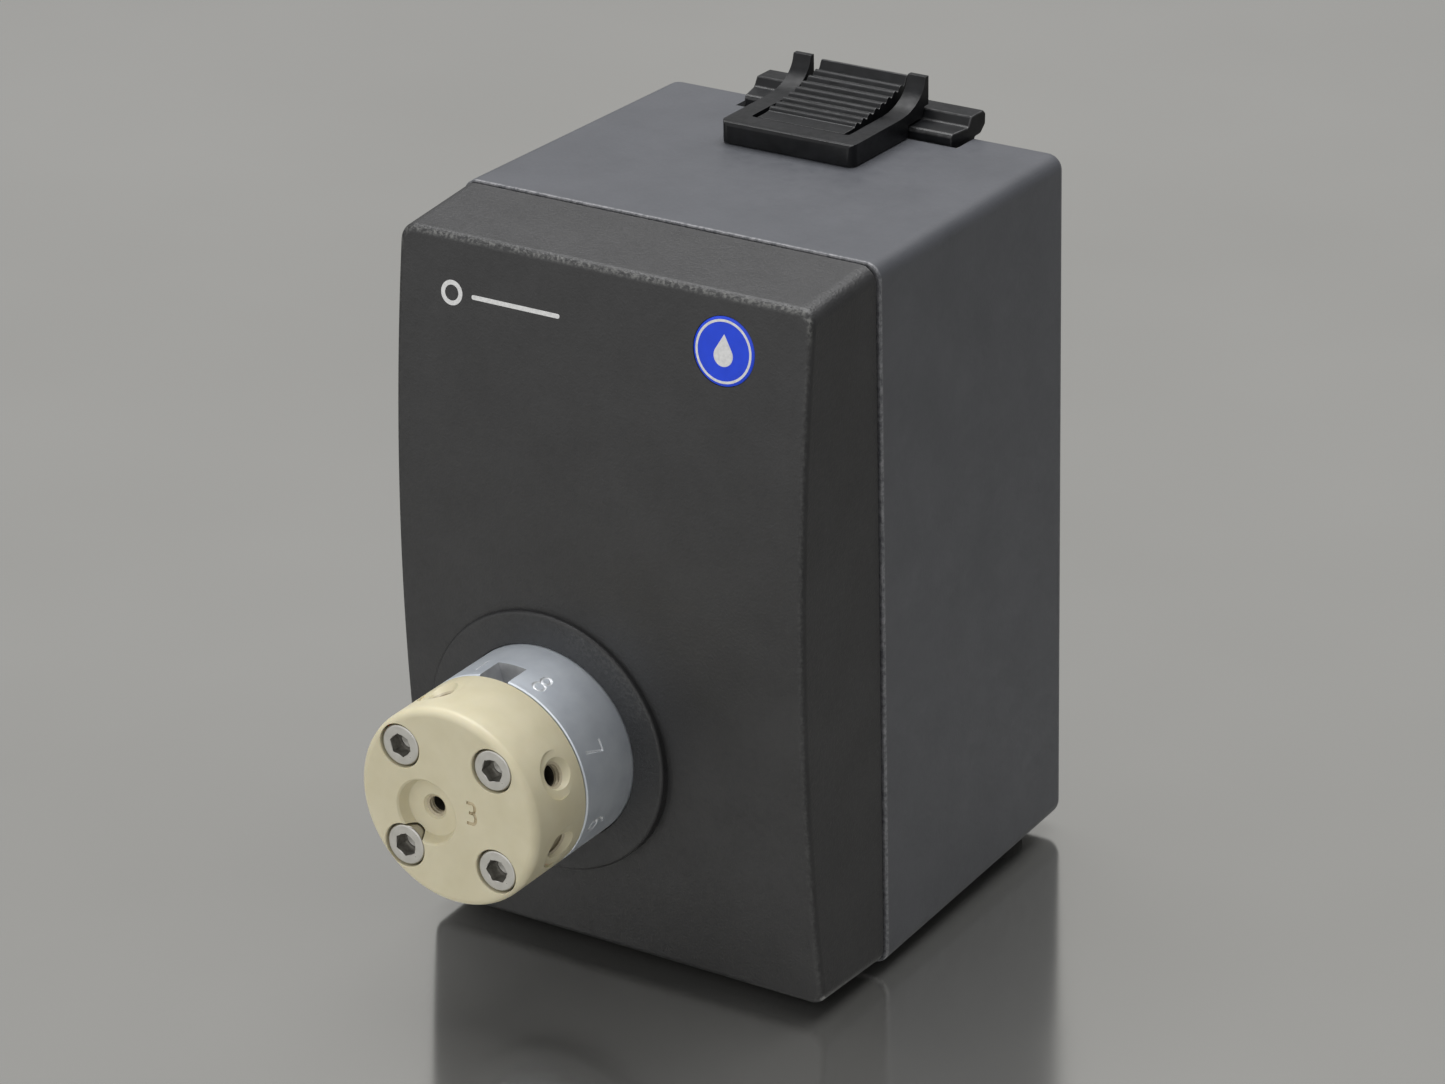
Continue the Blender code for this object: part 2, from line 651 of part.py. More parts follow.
def make_retaining_clip(frame):
    bm = bmesh.new()
    outline = circle(6.2, count=16, start=-70.0, sweep=320.0) + circle(4.25, count=16, start=250.0, sweep=-320.0)
    add_prism(bm, outline, -6.6, -5.6)
    new_object("retaining_clip", bm, steel(), frame)


def make_flange_screws(frame):
    for k in range(3):
        bm = bmesh.new()
        socket_screw(bm, 2.75, 3.0, 1.5, 10.4, 2.5, 1.6)
        x, z = polar(FLANGE_SCREW_CIRCLE, 90 + 120 * k)
        new_object(f"flange_screw_{k + 1}", bm, steel(), frame, (x, -4.6, z))


# ---------------------------------------------------------------- drive

def rounded_plate(bm, x, z, y, radius):
    """A flat plate with round corners, X and Z from low to high."""
    outline = []
    for (cx, cz), start in (((x[1] - radius, z[1] - radius), 0), ((x[0] + radius, z[1] - radius), 90),
                            ((x[0] + radius, z[0] + radius), 180), ((x[1] - radius, z[0] + radius), 270)):
        outline += circle(radius, (cx, cz), 5, start, 90.0)
    add_prism(bm, outline, y[0], y[1])


def make_chassis_plate(frame):
    bm = bmesh.new()
    rounded_plate(bm, (-40.6, 40.6), (3.6, 133.4), CHASSIS_Y, 3.0)
    plate = new_object("chassis_plate", bm, aluminium(), frame)
    holes = bmesh.new()
    for x, z in case_screw_places():
        add_cylinder(holes, 1.9, 0.0, 9.0, (x, z), 12)
    for k in range(3):
        x, z = polar(FLANGE_SCREW_CIRCLE, 90 + 120 * k)
        add_cylinder(holes, 1.8, 0.0, 9.0, (VALVE_X + x, VALVE_Z + z), 12)
    add_cylinder(holes, 8.35, 0.0, 9.0, (VALVE_X, VALVE_Z))
    rounded_plate(holes, (-26.0, 26.0), (104.0, 120.0), (0.0, 9.0), 5.0)
    rounded_plate(holes, (20.0, 34.0), (20.0, 90.0), (0.0, 9.0), 5.0)
    boolean(plate, "chassis_holes", holes)


def make_motor_plate(frame):
    bm = bmesh.new()
    rounded_plate(bm, (-38.5, 15.5), (14.0, 97.0), MOTOR_PLATE_Y, 4.0)
    plate = new_object("motor_plate", bm, aluminium(), frame)
    holes = bmesh.new()
    add_cylinder(holes, 7.3, 14.0, 23.0, (VALVE_X, VALVE_Z))
    add_cylinder(holes, 6.0, 14.0, 23.0, (VALVE_X, MOTOR_Z), 24)
    for x in (-11.0, 11.0):
        add_cylinder(holes, 1.8, 14.0, 23.0, (VALVE_X + x, MOTOR_Z), 12)
    boolean(plate, "motor_plate_holes", holes)


def make_standoffs(frame):
    for number, (x, z) in enumerate(STANDOFFS, 1):
        bm = bmesh.new()
        add_prism(bm, circle(3.2, count=6), CHASSIS_Y[1] + 0.3, MOTOR_PLATE_Y[0] - 0.3)
        new_object(f"plate_standoff_{number}", bm, brass(), frame, (x, 0.0, z))


def make_gears(valve_frame, motor_frame):
    bm = bmesh.new()
    add_prism(bm, gear_outline(DRIVE_TEETH, 90.0), GEAR_FRONT_Y, GEAR_REAR_Y)
    gear = new_object("drive_gear", bm, brass(), valve_frame)
    bore = bmesh.new()
    add_cylinder(bore, SHAFT_RADIUS + 0.3, 5.0, 17.0)
    for k in range(4):
        add_cylinder(bore, 4.6, 5.0, 17.0, polar(13.5, 45 + 90 * k), 12)
    boolean(gear, "gear_cuts", bore)
    bm = bmesh.new()
    add_prism(bm, gear_outline(PINION_TEETH, 270.0 + 180.0 / PINION_TEETH), GEAR_FRONT_Y, GEAR_REAR_Y)
    pinion = new_object("motor_pinion", bm, steel(), motor_frame)
    shaft = bmesh.new()
    add_cylinder(shaft, 2.5, GEAR_FRONT_Y - 0.8, 24.0, count=20)
    boolean(pinion, "pinion_shaft", shaft, "UNION")


def make_gearmotor(frame):
    bm = bmesh.new()
    add_turned(bm, [(0.0, 26.0), (2.9, 26.0), (2.9, 20.3), (16.0, 20.3), (16.0, 38.0), (0.0, 38.0)])
    gearbox = new_object("gearbox", bm, steel(), frame)
    holes = bmesh.new()
    for x in (-11.0, 11.0):
        add_cylinder(holes, 1.8, 17.0, 26.0, (x, 0.0), 12)
    boolean(gearbox, "gearbox_holes", holes)
    bm = bmesh.new()
    add_turned(bm, [(0.0, 38.3), (13.3, 38.3), (14.0, 39.0), (14.0, 57.0), (13.0, 58.0), (5.0, 58.0), (5.0, 60.0),
                    (0.0, 60.0)])
    new_object("motor_can", bm, dark_plastic(), frame)
    for number, x in enumerate((-11.0, 11.0), 1):
        bm = bmesh.new()
        socket_screw(bm, 2.75, 2.4, 1.5, 11.0, 2.5, 1.2)
        new_object(f"gearbox_screw_{number}", bm, steel(), frame, (x, 14.3, 0.0))


def make_shaft_bush(frame):
    bm = bmesh.new()
    add_turned(bm, [(SHAFT_BORE, 17.0), (7.0, 17.0), (7.0, 20.3), (8.6, 20.3), (8.6, 21.5), (SHAFT_BORE, 21.5)])
    new_object("shaft_bush", bm, brass(), frame)


def make_encoder(valve_frame):
    bm = bmesh.new()
    washer(bm, SHAFT_RADIUS + 0.3, 13.0, 24.0, 25.2)
    disc = new_object("encoder_disc", bm, dark_plastic(), valve_frame)
    hub = bmesh.new()
    washer(hub, SHAFT_RADIUS + 0.3, 7.0, 24.6, 28.0)
    boolean(disc, "encoder_hub", hub, "UNION")
    slots = bmesh.new()
    for start in (40, 130, 220, 310):
        arc = circle(11.9, count=3, start=start, sweep=20.0)
        arc += circle(9.4, count=3, start=start + 20.0, sweep=-20.0)
        add_prism(slots, arc, 22.0, 27.0)
    boolean(disc, "encoder_slots", slots)


def make_position_sensor(valve_frame):
    bm = bmesh.new()
    add_box(bm, (-10.0, 10.0), (27.4, 29.0), (-21.0, -14.5))
    sensor = new_object("position_sensor", bm, board_green(), valve_frame)
    fork = bmesh.new()
    add_box(fork, (-4.0, 4.0), (21.9, 27.8), (-17.5, -9.2))
    boolean(sensor, "sensor_fork", fork, "UNION")
    slot = bmesh.new()
    add_box(slot, (-6.0, 6.0), (23.4, 25.8), (-14.2, -5.0))
    boolean(sensor, "sensor_slot", slot)
    posts = bmesh.new()
    for x in (-8.0, 8.0):
        add_cylinder(posts, 1.6, 20.3, 28.0, (x, -18.5), 12)
    boolean(sensor, "sensor_posts", posts, "UNION")


def make_control_board(frame):
    bm = bmesh.new()
    add_box(bm, (33.6, 35.2), (10.0, 60.0), (16.0, 122.0))
    board = new_object("control_board", bm, board_green(), frame)
    chips = bmesh.new()
    for y, z, long, high, deep in ((20.0, 30.0, 12.0, 12.0, 2.0), (44.0, 34.0, 9.0, 16.0, 2.4),
                                   (22.0, 60.0, 10.0, 10.0, 6.0), (46.0, 66.0, 14.0, 8.0, 8.0),
                                   (26.0, 92.0, 8.0, 14.0, 3.0), (46.0, 104.0, 10.0, 18.0, 7.0)):
        add_box(chips, (33.6 - deep, 34.2), (y - long / 2, y + long / 2), (z - high / 2, z + high / 2))
    boolean(board, "board_parts", chips, "UNION")
    holes = bmesh.new()
    for y, z in board_corners():
        add_cylinder(holes, 1.3, 31.0, 38.0, (y, z), 12, "X")
    boolean(board, "board_holes", holes)


def board_corners():
    return [(y, z) for z in (20.0, 118.0) for y in (14.0, 56.0)]


# ---------------------------------------------------------------- rear connectors

def plate_screw_places():
    return [(x, PLATE_Z + dz) for dz in (-11.8, 11.8) for x in (-21.6, 21.6)]


def make_connector_plate(frame):
    bm = bmesh.new()
    rounded_plate(bm, (-PLATE_HALF_WIDTH, PLATE_HALF_WIDTH),
                  (PLATE_Z - PLATE_HALF_HEIGHT, PLATE_Z + PLATE_HALF_HEIGHT),
                  (HOUSING_DEPTH - 1.3, HOUSING_DEPTH - 0.1), 1.0)
    plate = new_object("connector_plate", bm, aluminium(), frame)
    holes = bmesh.new()
    for x in (-SOCKET_X, SOCKET_X):
        add_cylinder(holes, SOCKET_RADIUS + 0.3, 60.0, 74.0, (x, PLATE_Z), 20)
    add_cylinder(holes, DIAL_RADIUS + 0.8, 60.0, 74.0, (0.0, PLATE_Z), 20)
    for x, z in plate_screw_places():
        add_cylinder(holes, 1.4, 60.0, 74.0, (x, z), 12)
    boolean(plate, "plate_holes", holes)
    for number, (x, z) in enumerate(plate_screw_places(), 1):
        bm = bmesh.new()
        socket_screw(bm, 2.0, 1.3, 1.1, 5.2, 1.5, 0.8)
        new_object(f"plate_screw_{number}", bm, steel(), frame, (x, HOUSING_DEPTH + 1.5, z),
                   (0.0, 0.0, math.pi))


def make_sockets(frame):
    """Two round bus sockets: a flanged barrel with a ring groove round its contact core."""
    for side, x in (("left", -SOCKET_X), ("right", SOCKET_X)):
        bm = bmesh.new()
        add_turned(bm, [(0.0, 55.0), (7.0, 55.0), (7.0, 64.8), (SOCKET_RADIUS, 64.8), (SOCKET_RADIUS, 69.2),
                        (4.6, 69.2), (4.6, 64.5), (3.7, 64.5), (3.7, 68.6), (0.0, 68.6)], count=20)
        new_object(f"bus_socket_{side}", bm, dark_plastic(), frame, (x, 0.0, PLATE_Z))


def make_address_switch(frame, dial_frame):
    bm = bmesh.new()
    add_box(bm, (-5.4, 5.4), (58.0, 64.3), (PLATE_Z - 5.4, PLATE_Z + 5.4))
    new_object("address_switch", bm, dark_plastic(), frame)
    bm = bmesh.new()
    add_turned(bm, [(0.0, 64.6), (DIAL_RADIUS, 64.6), (DIAL_RADIUS, 67.2), (0.0, 67.2)], count=20)
    dial = new_object("address_dial", bm, stator_polymer(), dial_frame)
    slot = bmesh.new()
    add_box(slot, (-0.5, 0.5), (66.4, 69.0), (-2.6, 2.6))
    boolean(dial, "dial_slot", slot)


# ---------------------------------------------------------------- release clip

def arm_outline():
    """Side view of an arm with its horn, (Y, Z): a bridge over the catch bar at the rear."""
    points = [(0.0, CLIP_GAP), (19.3, CLIP_GAP), (19.3, 2.6), (24.3, 2.7), (25.1, 4.6), (HORN_REAR, 4.6),
              (HORN_REAR, HORN_TOP), (HORN_REAR - 1.2, HORN_TOP)]
    centre_y, centre_z, half_long, half_high = 16.3, HORN_TOP, 9.0, 5.6
    for degrees in (-15, -30, -45, -60, -75, -90):
        angle = math.radians(degrees)
        points.append((centre_y + half_long * math.cos(angle), centre_z + half_high * math.sin(angle)))
    points += [(12.0, CLIP_BASE_HEIGHT + 0.1), (0.8, CLIP_BASE_HEIGHT), (0.0, CLIP_BASE_HEIGHT - 0.8)]
    return points


def make_clip_frame(frame):
    bm = bmesh.new()
    add_prism(bm, arm_outline(), -CLIP_HALF_WIDTH, -ARM_INNER_X, "X")
    clip = new_object("clip_frame", bm, clip_plastic(), frame)
    right = bmesh.new()
    add_prism(right, arm_outline(), ARM_INNER_X, CLIP_HALF_WIDTH, "X")
    boolean(clip, "clip_right_arm", right, "UNION")
    bar = bmesh.new()
    side = [(0.0, CLIP_GAP), (CLIP_BAR_DEPTH, CLIP_GAP), (CLIP_BAR_DEPTH, CLIP_BASE_HEIGHT), (0.8, CLIP_BASE_HEIGHT),
            (0.0, CLIP_BASE_HEIGHT - 0.8)]
    add_prism(bar, side, 1.0 - CLIP_HALF_WIDTH, CLIP_HALF_WIDTH - 1.0, "X")
    boolean(clip, "clip_front_bar", bar, "UNION")
    corners = bmesh.new()
    for x in (-1.0, 1.0):
        outline = [(x * (CLIP_HALF_WIDTH - 1.6), -1.0), (x * (CLIP_HALF_WIDTH + 1.0), -1.0),
                   (x * (CLIP_HALF_WIDTH + 1.0), 1.6), (x * CLIP_HALF_WIDTH, 1.6),
                   (x * (CLIP_HALF_WIDTH - 0.47), 0.47), (x * (CLIP_HALF_WIDTH - 1.6), 0.0)]
        add_prism(corners, outline, -3.0, 12.0, "Z")
        add_cylinder(corners, 1.3, -3.0, 3.2, (x * 12.4, 8.0), 12, "Z")
    boolean(clip, "clip_corners", corners)
    return clip


def tongue_top(y):
    """Height of the tongue's ramp under its ribs."""
    share = max(0.0, (y - 7.0) / 19.0)
    return CLIP_BASE_HEIGHT + 3.0 * share ** 1.6


def tongue_outline():
    """Side view of the thumb tongue, (Y, Z): a flat root, eight ribs, and a raised rear lip."""
    points = [(4.9, 2.3), (9.0, 2.5), (18.0, 3.4), (23.6, 4.4), (27.6, 4.4), (28.0, 8.9), (27.4, 9.2),
              (26.9, 8.9), (26.2, tongue_top(26.2))]
    pitch = 2.2
    for rib in range(7, -1, -1):
        middle = 9.6 + pitch * rib
        for step, lift in ((0.75, 0.0), (0.45, 0.42), (-0.45, 0.42), (-0.75, 0.0)):
            points.append((middle + step, tongue_top(middle + step) + lift))
    points += [(7.5, CLIP_BASE_HEIGHT), (4.9, CLIP_BASE_HEIGHT)]
    return points


def make_tongue(frame):
    bm = bmesh.new()
    verts = add_prism(bm, tongue_outline(), -TONGUE_HALF_WIDTH, TONGUE_HALF_WIDTH, "X")
    bmesh.ops.translate(bm, verts=verts, vec=(0.0, -PIVOT_Y, -PIVOT_Z))
    new_object("thumb_tongue", bm, clip_plastic(), frame)


def make_catch_bar(frame):
    """The rail catch that the tongue presses down: a low front step and a higher barb behind it."""
    side = [(20.6, -1.0), (27.0, -1.0), (27.0, -0.2), (29.2, -0.1), (30.9, 1.3), (31.0, 3.3), (30.2, 4.1),
            (25.8, 4.1), (24.8, 2.3), (20.5, 2.1), (20.0, 1.6), (20.0, -0.3)]
    bm = bmesh.new()
    verts = add_prism(bm, side, BAR_LEFT_X, BAR_RIGHT_X, "X")
    for vert in bm.verts:
        if vert.co.y < 20.8:
            vert.co.x -= math.copysign(0.9, vert.co.x)
    bmesh.ops.translate(bm, verts=verts, vec=(0.0, -PIVOT_Y, -PIVOT_Z))
    new_object("catch_bar", bm, clip_plastic(), frame)


def make_clip_screws(frame):
    for side, x in (("left", -12.4), ("right", 12.4)):
        bm = bmesh.new()
        socket_screw(bm, 2.2, 1.6, 1.0, 8.0, 1.5, 0.8)
        new_object(f"clip_screw_{side}", bm, steel(), frame, (x, 8.0, -5.0), (math.pi / 2, 0.0, 0.0))


# ---------------------------------------------------------------- assembly

def main():
    clear_scene()
    seam = new_frame("seam_frame", (0.0, -CENTRE_Y, FOOT_HEIGHT))
    valve = new_frame("valve_axis", (VALVE_X, 0.0, VALVE_Z), seam)
    motor = new_frame("motor_axis", (VALVE_X, 0.0, MOTOR_Z), seam)
    dial = new_frame("dial_axis", (0.0, 0.0, PLATE_Z), seam)
    lean = -math.atan(TOP_DRAFT / HOUSING_DEPTH)
    clip_seat = new_frame("clip_seat", (0.0, CLIP_FRONT_Y, HOUSING_HEIGHT + CLIP_FRONT_Y * math.tan(lean)),
                          seam, lean)
    pivot = new_frame("tongue_pivot", (0.0, PIVOT_Y, PIVOT_Z), clip_seat)

    housing = make_housing(seam)
    cut_catch_pocket(housing, clip_seat)
    make_cover(seam)
    make_badge(seam)
    make_feet(seam)
    make_case_screws(seam)

    make_ring(valve)
    make_stator(valve)
    make_stator_screws(valve)
    make_distribution_plate(valve)
    make_channel_plate(valve)
    make_rotor_shaft(valve)
    make_disc_spring("disc_spring_front", valve, -27.6, 0.7)
    make_disc_spring("disc_spring_rear", valve, -26.1, -0.7)
    make_thrust_bearing(valve)
    make_shaft_bearing(valve)
    make_retaining_clip(valve)
    make_flange_screws(valve)

    make_chassis_plate(seam)
    make_motor_plate(seam)
    make_standoffs(seam)
    make_gears(valve, motor)
    make_gearmotor(motor)
    make_shaft_bush(valve)
    make_encoder(valve)
    make_position_sensor(valve)
    make_control_board(seam)

    make_connector_plate(seam)
    make_sockets(seam)
    make_address_switch(seam, dial)

    make_clip_frame(clip_seat)
    make_tongue(pivot)
    make_catch_bar(pivot)
    make_clip_screws(clip_seat)


main()
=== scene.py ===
"""The looks of the rotary valve module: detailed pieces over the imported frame, materials, light and camera.

Dimensions are millimetres in the seam frame: X to the right, Y back from the seam between cover and
housing, Z up from the housing's lower edge. SEAM turns them into the row frame, in metres.
"""
import json
import math
from collections import namedtuple

import bmesh
import bpy
from mathutils import Matrix, Vector

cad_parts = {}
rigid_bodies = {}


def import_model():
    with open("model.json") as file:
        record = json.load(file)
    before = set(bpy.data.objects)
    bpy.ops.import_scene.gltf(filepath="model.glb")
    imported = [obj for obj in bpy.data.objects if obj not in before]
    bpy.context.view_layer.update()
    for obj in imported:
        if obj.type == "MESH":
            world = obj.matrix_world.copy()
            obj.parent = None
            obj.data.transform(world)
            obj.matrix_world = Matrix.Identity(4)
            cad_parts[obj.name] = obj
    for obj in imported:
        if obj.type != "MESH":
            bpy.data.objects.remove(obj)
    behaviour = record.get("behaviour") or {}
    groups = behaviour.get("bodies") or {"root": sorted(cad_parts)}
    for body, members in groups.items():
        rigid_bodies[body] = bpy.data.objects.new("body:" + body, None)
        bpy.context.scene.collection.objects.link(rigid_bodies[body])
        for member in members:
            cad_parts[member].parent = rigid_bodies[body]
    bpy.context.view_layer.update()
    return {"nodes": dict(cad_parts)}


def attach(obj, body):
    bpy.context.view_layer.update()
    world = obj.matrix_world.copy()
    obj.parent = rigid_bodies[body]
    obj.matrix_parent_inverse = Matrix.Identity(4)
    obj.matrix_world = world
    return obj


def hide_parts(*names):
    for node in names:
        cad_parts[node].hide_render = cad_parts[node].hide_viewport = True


MM = 0.001

# Where the seam frame sits in the row frame
CENTRE_Y = 6.925
FOOT_HEIGHT = 1.6
SEAM = Matrix.Translation(Vector((0.0, -CENTRE_Y, FOOT_HEIGHT)) * MM)

# Camera
CAMERA_PLACE = (470.0, -695.3, 458.0)
CAMERA_YAW = 33.47
CAMERA_PITCH = 24.53
CAMERA_ROLL = 1.45
CAMERA_LENS = 127.0
SENSOR_WIDTH = 36.0

# Housing and cover
HOUSING_WIDTH = 88.0
HOUSING_HEIGHT = 137.4
HOUSING_DEPTH = 67.7
SIDE_DRAFT = 1.1
TOP_DRAFT = 1.2
BOTTOM_DRAFT = 1.4
LONG_EDGE_RADIUS = 3.1
REAR_EDGE_RADIUS = 2.9
WALL = 2.6
SEAM_HALF = 0.3
HOUSING_SEAM_EDGE = 0.35
COVER_SEAM_EDGE = 0.3
COVER_HALF_WIDTH = 43.55
COVER_FRONT_HALF_WIDTH = 43.3
COVER_DEPTH_TOP = 20.2
COVER_DEPTH_BOTTOM = 20.7
COVER_BOW = 5.2
COVER_LOW = 1.15
COVER_HIGH = 135.8
COVER_EDGE_RADIUS = 1.4
COVER_EDGE_WEAR = (0.0, 0.0, 0.0, 0.1, 0.5, 1.0, 1.0, 0.9, 0.6, 0.2, 0.0)
COVER_WALL = 2.5
SCREW_POST_RADIUS = 4.4
SCREW_POST_START = 40.0
CASE_SCREW_X = 36.0
CASE_SCREW_Z = (9.5, 127.0)

# Socket screws, all dimensions of one size together
Screw = namedtuple("Screw", "head_radius head_height shank_radius length flats socket_depth")
STATOR_SCREW = Screw(3.95, 4.8, 2.2, 27.5, 4.0, 2.6)
CASE_SCREW = Screw(2.75, 3.0, 1.5, 74.0, 2.5, 1.6)
PLATE_SCREW = Screw(2.0, 1.3, 1.1, 5.2, 1.5, 0.8)
SCREW_RIM = 0.42
STATOR_SCREW_TURNS = (12.0, 44.0, 27.0, 3.0)
CASE_SCREW_TURN = 17.0
PLATE_SCREW_TURN = 23.0

# Valve head
VALVE_X = -11.5
VALVE_Z = 43.5
HEAD_RADIUS = 19.05
BOSS_RADIUS = 25.4
BOSS_FACE_Y = -26.7
BOSS_REAR_Y = -20.0
BOSS_FILLET = 0.6
BOSS_HOLE_RADIUS = 19.25
COVER_HOLE_RADIUS = 22.0
RING_FRONT_Y = -41.15
STATOR_REAR_Y = -41.45
STATOR_FRONT_Y = -57.0
STATOR_FILLET = 1.6
STATOR_SCREW_CIRCLE = 14.0
SCREW_HEAD_SINK = 0.3
COUNTERBORE_RADIUS = 4.25
COUNTERBORE_DEPTH = 5.4
SCREW_HOLE_RADIUS = 2.5
PORT_Y = -47.7
PORT_RADIUS = 2.45
THREAD_PITCH = 0.79
THREAD_DEPTH = 0.42
COUNTERSINK = 0.45
THREAD_SHOWN = 2.0
PORT_DEPTH = 8.0
PORT_TIP = 9.4
SIDE_PORTS = {1: 112.5, 2: 157.5, 4: 247.5, 5: 292.5, 6: 337.5, 7: 22.5}
RING_DIGITS = {1: 108.5, 2: 157.5, 3: 202.5, 4: 247.5, 5: 292.5, 6: 337.6, 7: 22.7, 8: 68.0}
RING_DIGIT_Y = -36.65
RING_DIGIT_HEIGHT = 4.5
DIGIT_WIDTH_SHARE = 0.52
FACE_DIGIT = (5.1, 0.4, 4.0)
GROOVE_RADIUS = 0.35
FRONT_PORT = (-4.71, -1.95)
FRONT_PORT_RADIUS = 2.1
FRONT_COUNTERSINK = 0.7
SPOT_RADIUS = 4.45
SPOT_DEPTH = 0.75
SPOT_TILT = 10.0
RECESS_RIM = 6.4
RECESS_FLOOR = 5.3
RECESS_DEPTH = 2.4

# Rear connector plate
PLATE_Z = 103.0
PLATE_HALF_WIDTH = 24.0
PLATE_HALF_HEIGHT = 14.5
PLATE_SCREW_X = 21.6
PLATE_SCREW_DZ = 11.8
SOCKET_X = 13.0
SOCKET_RADIUS = 5.5
DIAL_RADIUS = 3.6
CONTACT_CIRCLE = 2.3
CONTACT_RADIUS = 0.45

# Release clip, in its own frame
CLIP_FRONT_Y = 39.8
CLIP_GAP = 0.3
CLIP_HALF_WIDTH = 14.3
ARM_INNER_X = 10.5
TONGUE_HALF_WIDTH = 9.3
CLIP_BAR_DEPTH = 4.6
CLIP_BASE_HEIGHT = 4.4
CLIP_CORNER = 1.6
CLIP_INNER_CORNER = 0.7
RIB_COUNT = 8
RIB_START = 9.6
RIB_PITCH = 2.2
RIB_SHAPE = ((0.95, 0.0), (0.62, 0.36), (0.3, 0.62), (-0.1, 0.68), (-0.5, 0.52), (-0.85, 0.05))
HORN_REAR = 26.55
HORN_TOP = 10.15
BAR_LEFT_X = -22.75
BAR_RIGHT_X = 23.95
CLIP_LEAN = -math.atan(TOP_DRAFT / HOUSING_DEPTH)
CLIP_SEAT = SEAM @ Matrix.Translation(
    Vector((0.0, CLIP_FRONT_Y, HOUSING_HEIGHT + CLIP_FRONT_Y * math.tan(CLIP_LEAN))) * MM
) @ Matrix.Rotation(CLIP_LEAN, 4, "X")

# Printed marks on the cover
BADGE_X = 25.9
BADGE_Z = 125.6
BADGE_RADIUS = 6.2
MARK_Z = 125.2
MARK_ICON_X = -31.3
MARK_ICON_RADIUS = 2.3
MARK_BAR_X = (-27.0, -8.2)
BADGE_PRINT = (-0.13, -0.05)
MARK_PRINT = (-0.03, 0.03)

# Stage: places, targets and sizes in metres, power in watts
WORLD_STRENGTH = 0.19
LIGHTS = {
    "overhead": ((-0.1, 0.35, 1.5), (0.0, 0.0, 0.05), (1.6, 1.2), 35.0),
    "key": ((-0.25, -1.6, 0.9), (0.0, -0.05, 0.05), (4.2, 2.0), 27.0),
    "backdrop": ((-1.0, 2.1, 1.1), (0.0, 0.0, 0.0), (3.2, 1.6), 4.6),
}
FLOOR_HALF = 2500.0

ROUND = 96
CORNER_STEPS = 8
SIDE_STEPS = 48


# ---------------------------------------------------------------- meshes

def place(x, y, z):
    """A place in the seam frame, as a row frame matrix."""
    return SEAM @ Matrix.Translation(Vector((x, y, z)) * MM)


def mesh_from(name, bm):
    bmesh.ops.recalc_face_normals(bm, faces=bm.faces)
    bmesh.ops.scale(bm, vec=(MM, MM, MM), verts=bm.verts)
    mesh = bpy.data.meshes.new(name)
    bm.to_mesh(mesh)
    bm.free()
    return mesh


def set_down(name, data, matrix):
    """An object with this data at a row frame matrix."""
    obj = bpy.data.objects.new(name, data)
    bpy.context.collection.objects.link(obj)
    obj.matrix_world = matrix
    return obj


def new_piece(name, bm, finish, matrix=SEAM):
    """A piece or cutter drawn in millimetres. A cutter leaves its finish on the faces it makes."""
    obj = set_down(name, mesh_from(name, bm), matrix)
    obj.data.materials.append(finish)
    return obj


def apply_modifiers(obj):
    """Keep what the modifiers made, and drop them."""
    bpy.context.view_layer.update()
    evaluated = obj.evaluated_get(bpy.context.evaluated_depsgraph_get())
    old = obj.data
    obj.data = bpy.data.meshes.new_from_object(evaluated)
    obj.modifiers.clear()
    obj.data.name = obj.name
    bpy.data.meshes.remove(old)


def carve(obj, cutters, operation="DIFFERENCE"):
    """Cut or join helper shapes, each a bmesh in the piece's own frame or a ready object."""
    helpers = []
    for cutter in cutters:
        if isinstance(cutter, bmesh.types.BMesh):
            helper = set_down("helper", mesh_from("helper", cutter), obj.matrix_world)
        else:
            helper = cutter
        step = obj.modifiers.new("carve", "BOOLEAN")
        step.operation = operation
        step.solver = "EXACT"
        step.use_self = helper.name.startswith("groove")
        step.material_mode = "TRANSFER"
        step.object = helper
        helpers.append(helper)
    apply_modifiers(obj)
    for helper in helpers:
        bpy.data.objects.remove(helper)


def soften(obj, width, segments=2, angle=35.0, edge_finish=None):
    """Round the hard edges a little and shade smoothly; the rounded edges can have their own finish."""
    step = obj.modifiers.new("soften", "BEVEL")
    if edge_finish:
        obj.data.materials.append(edge_finish)
        step.material = len(obj.data.materials) - 1
    step.width = width * MM
    step.segments = segments
    step.limit_method = "ANGLE"
    step.angle_limit = math.radians(angle)
    step.use_clamp_overlap = True
    step.miter_outer = "MITER_ARC"
    apply_modifiers(obj)
    shade(obj)


def shade(obj, angle=30.0):
    obj.data.shade_smooth()
    obj.data.set_sharp_from_angle(angle=math.radians(angle))
    step = obj.modifiers.new("normals", "WEIGHTED_NORMAL")
    step.keep_sharp = True
    step.weight = 80
    apply_modifiers(obj)


def polar(radius, degrees):
    angle = math.radians(degrees)
    return radius * math.cos(angle), radius * math.sin(angle)


def circle(radius, centre=(0.0, 0.0), count=ROUND, start=0.0, sweep=360.0):
    """Points round a circle; a part sweep includes both of its ends."""
    steps = count if abs(sweep) >= 360.0 else count - 1
    points = []
    for i in range(count):
        a, b = polar(radius, start + sweep * i / steps)
        points.append((centre[0] + a, centre[1] + b))
    return points


def ellipse_arc(centre, radii, start, end, steps=10):
    unit = circle(1.0, count=steps + 1, start=start, sweep=end - start)
    return [(centre[0] + radii[0] * a, centre[1] + radii[1] * b) for a, b in unit]


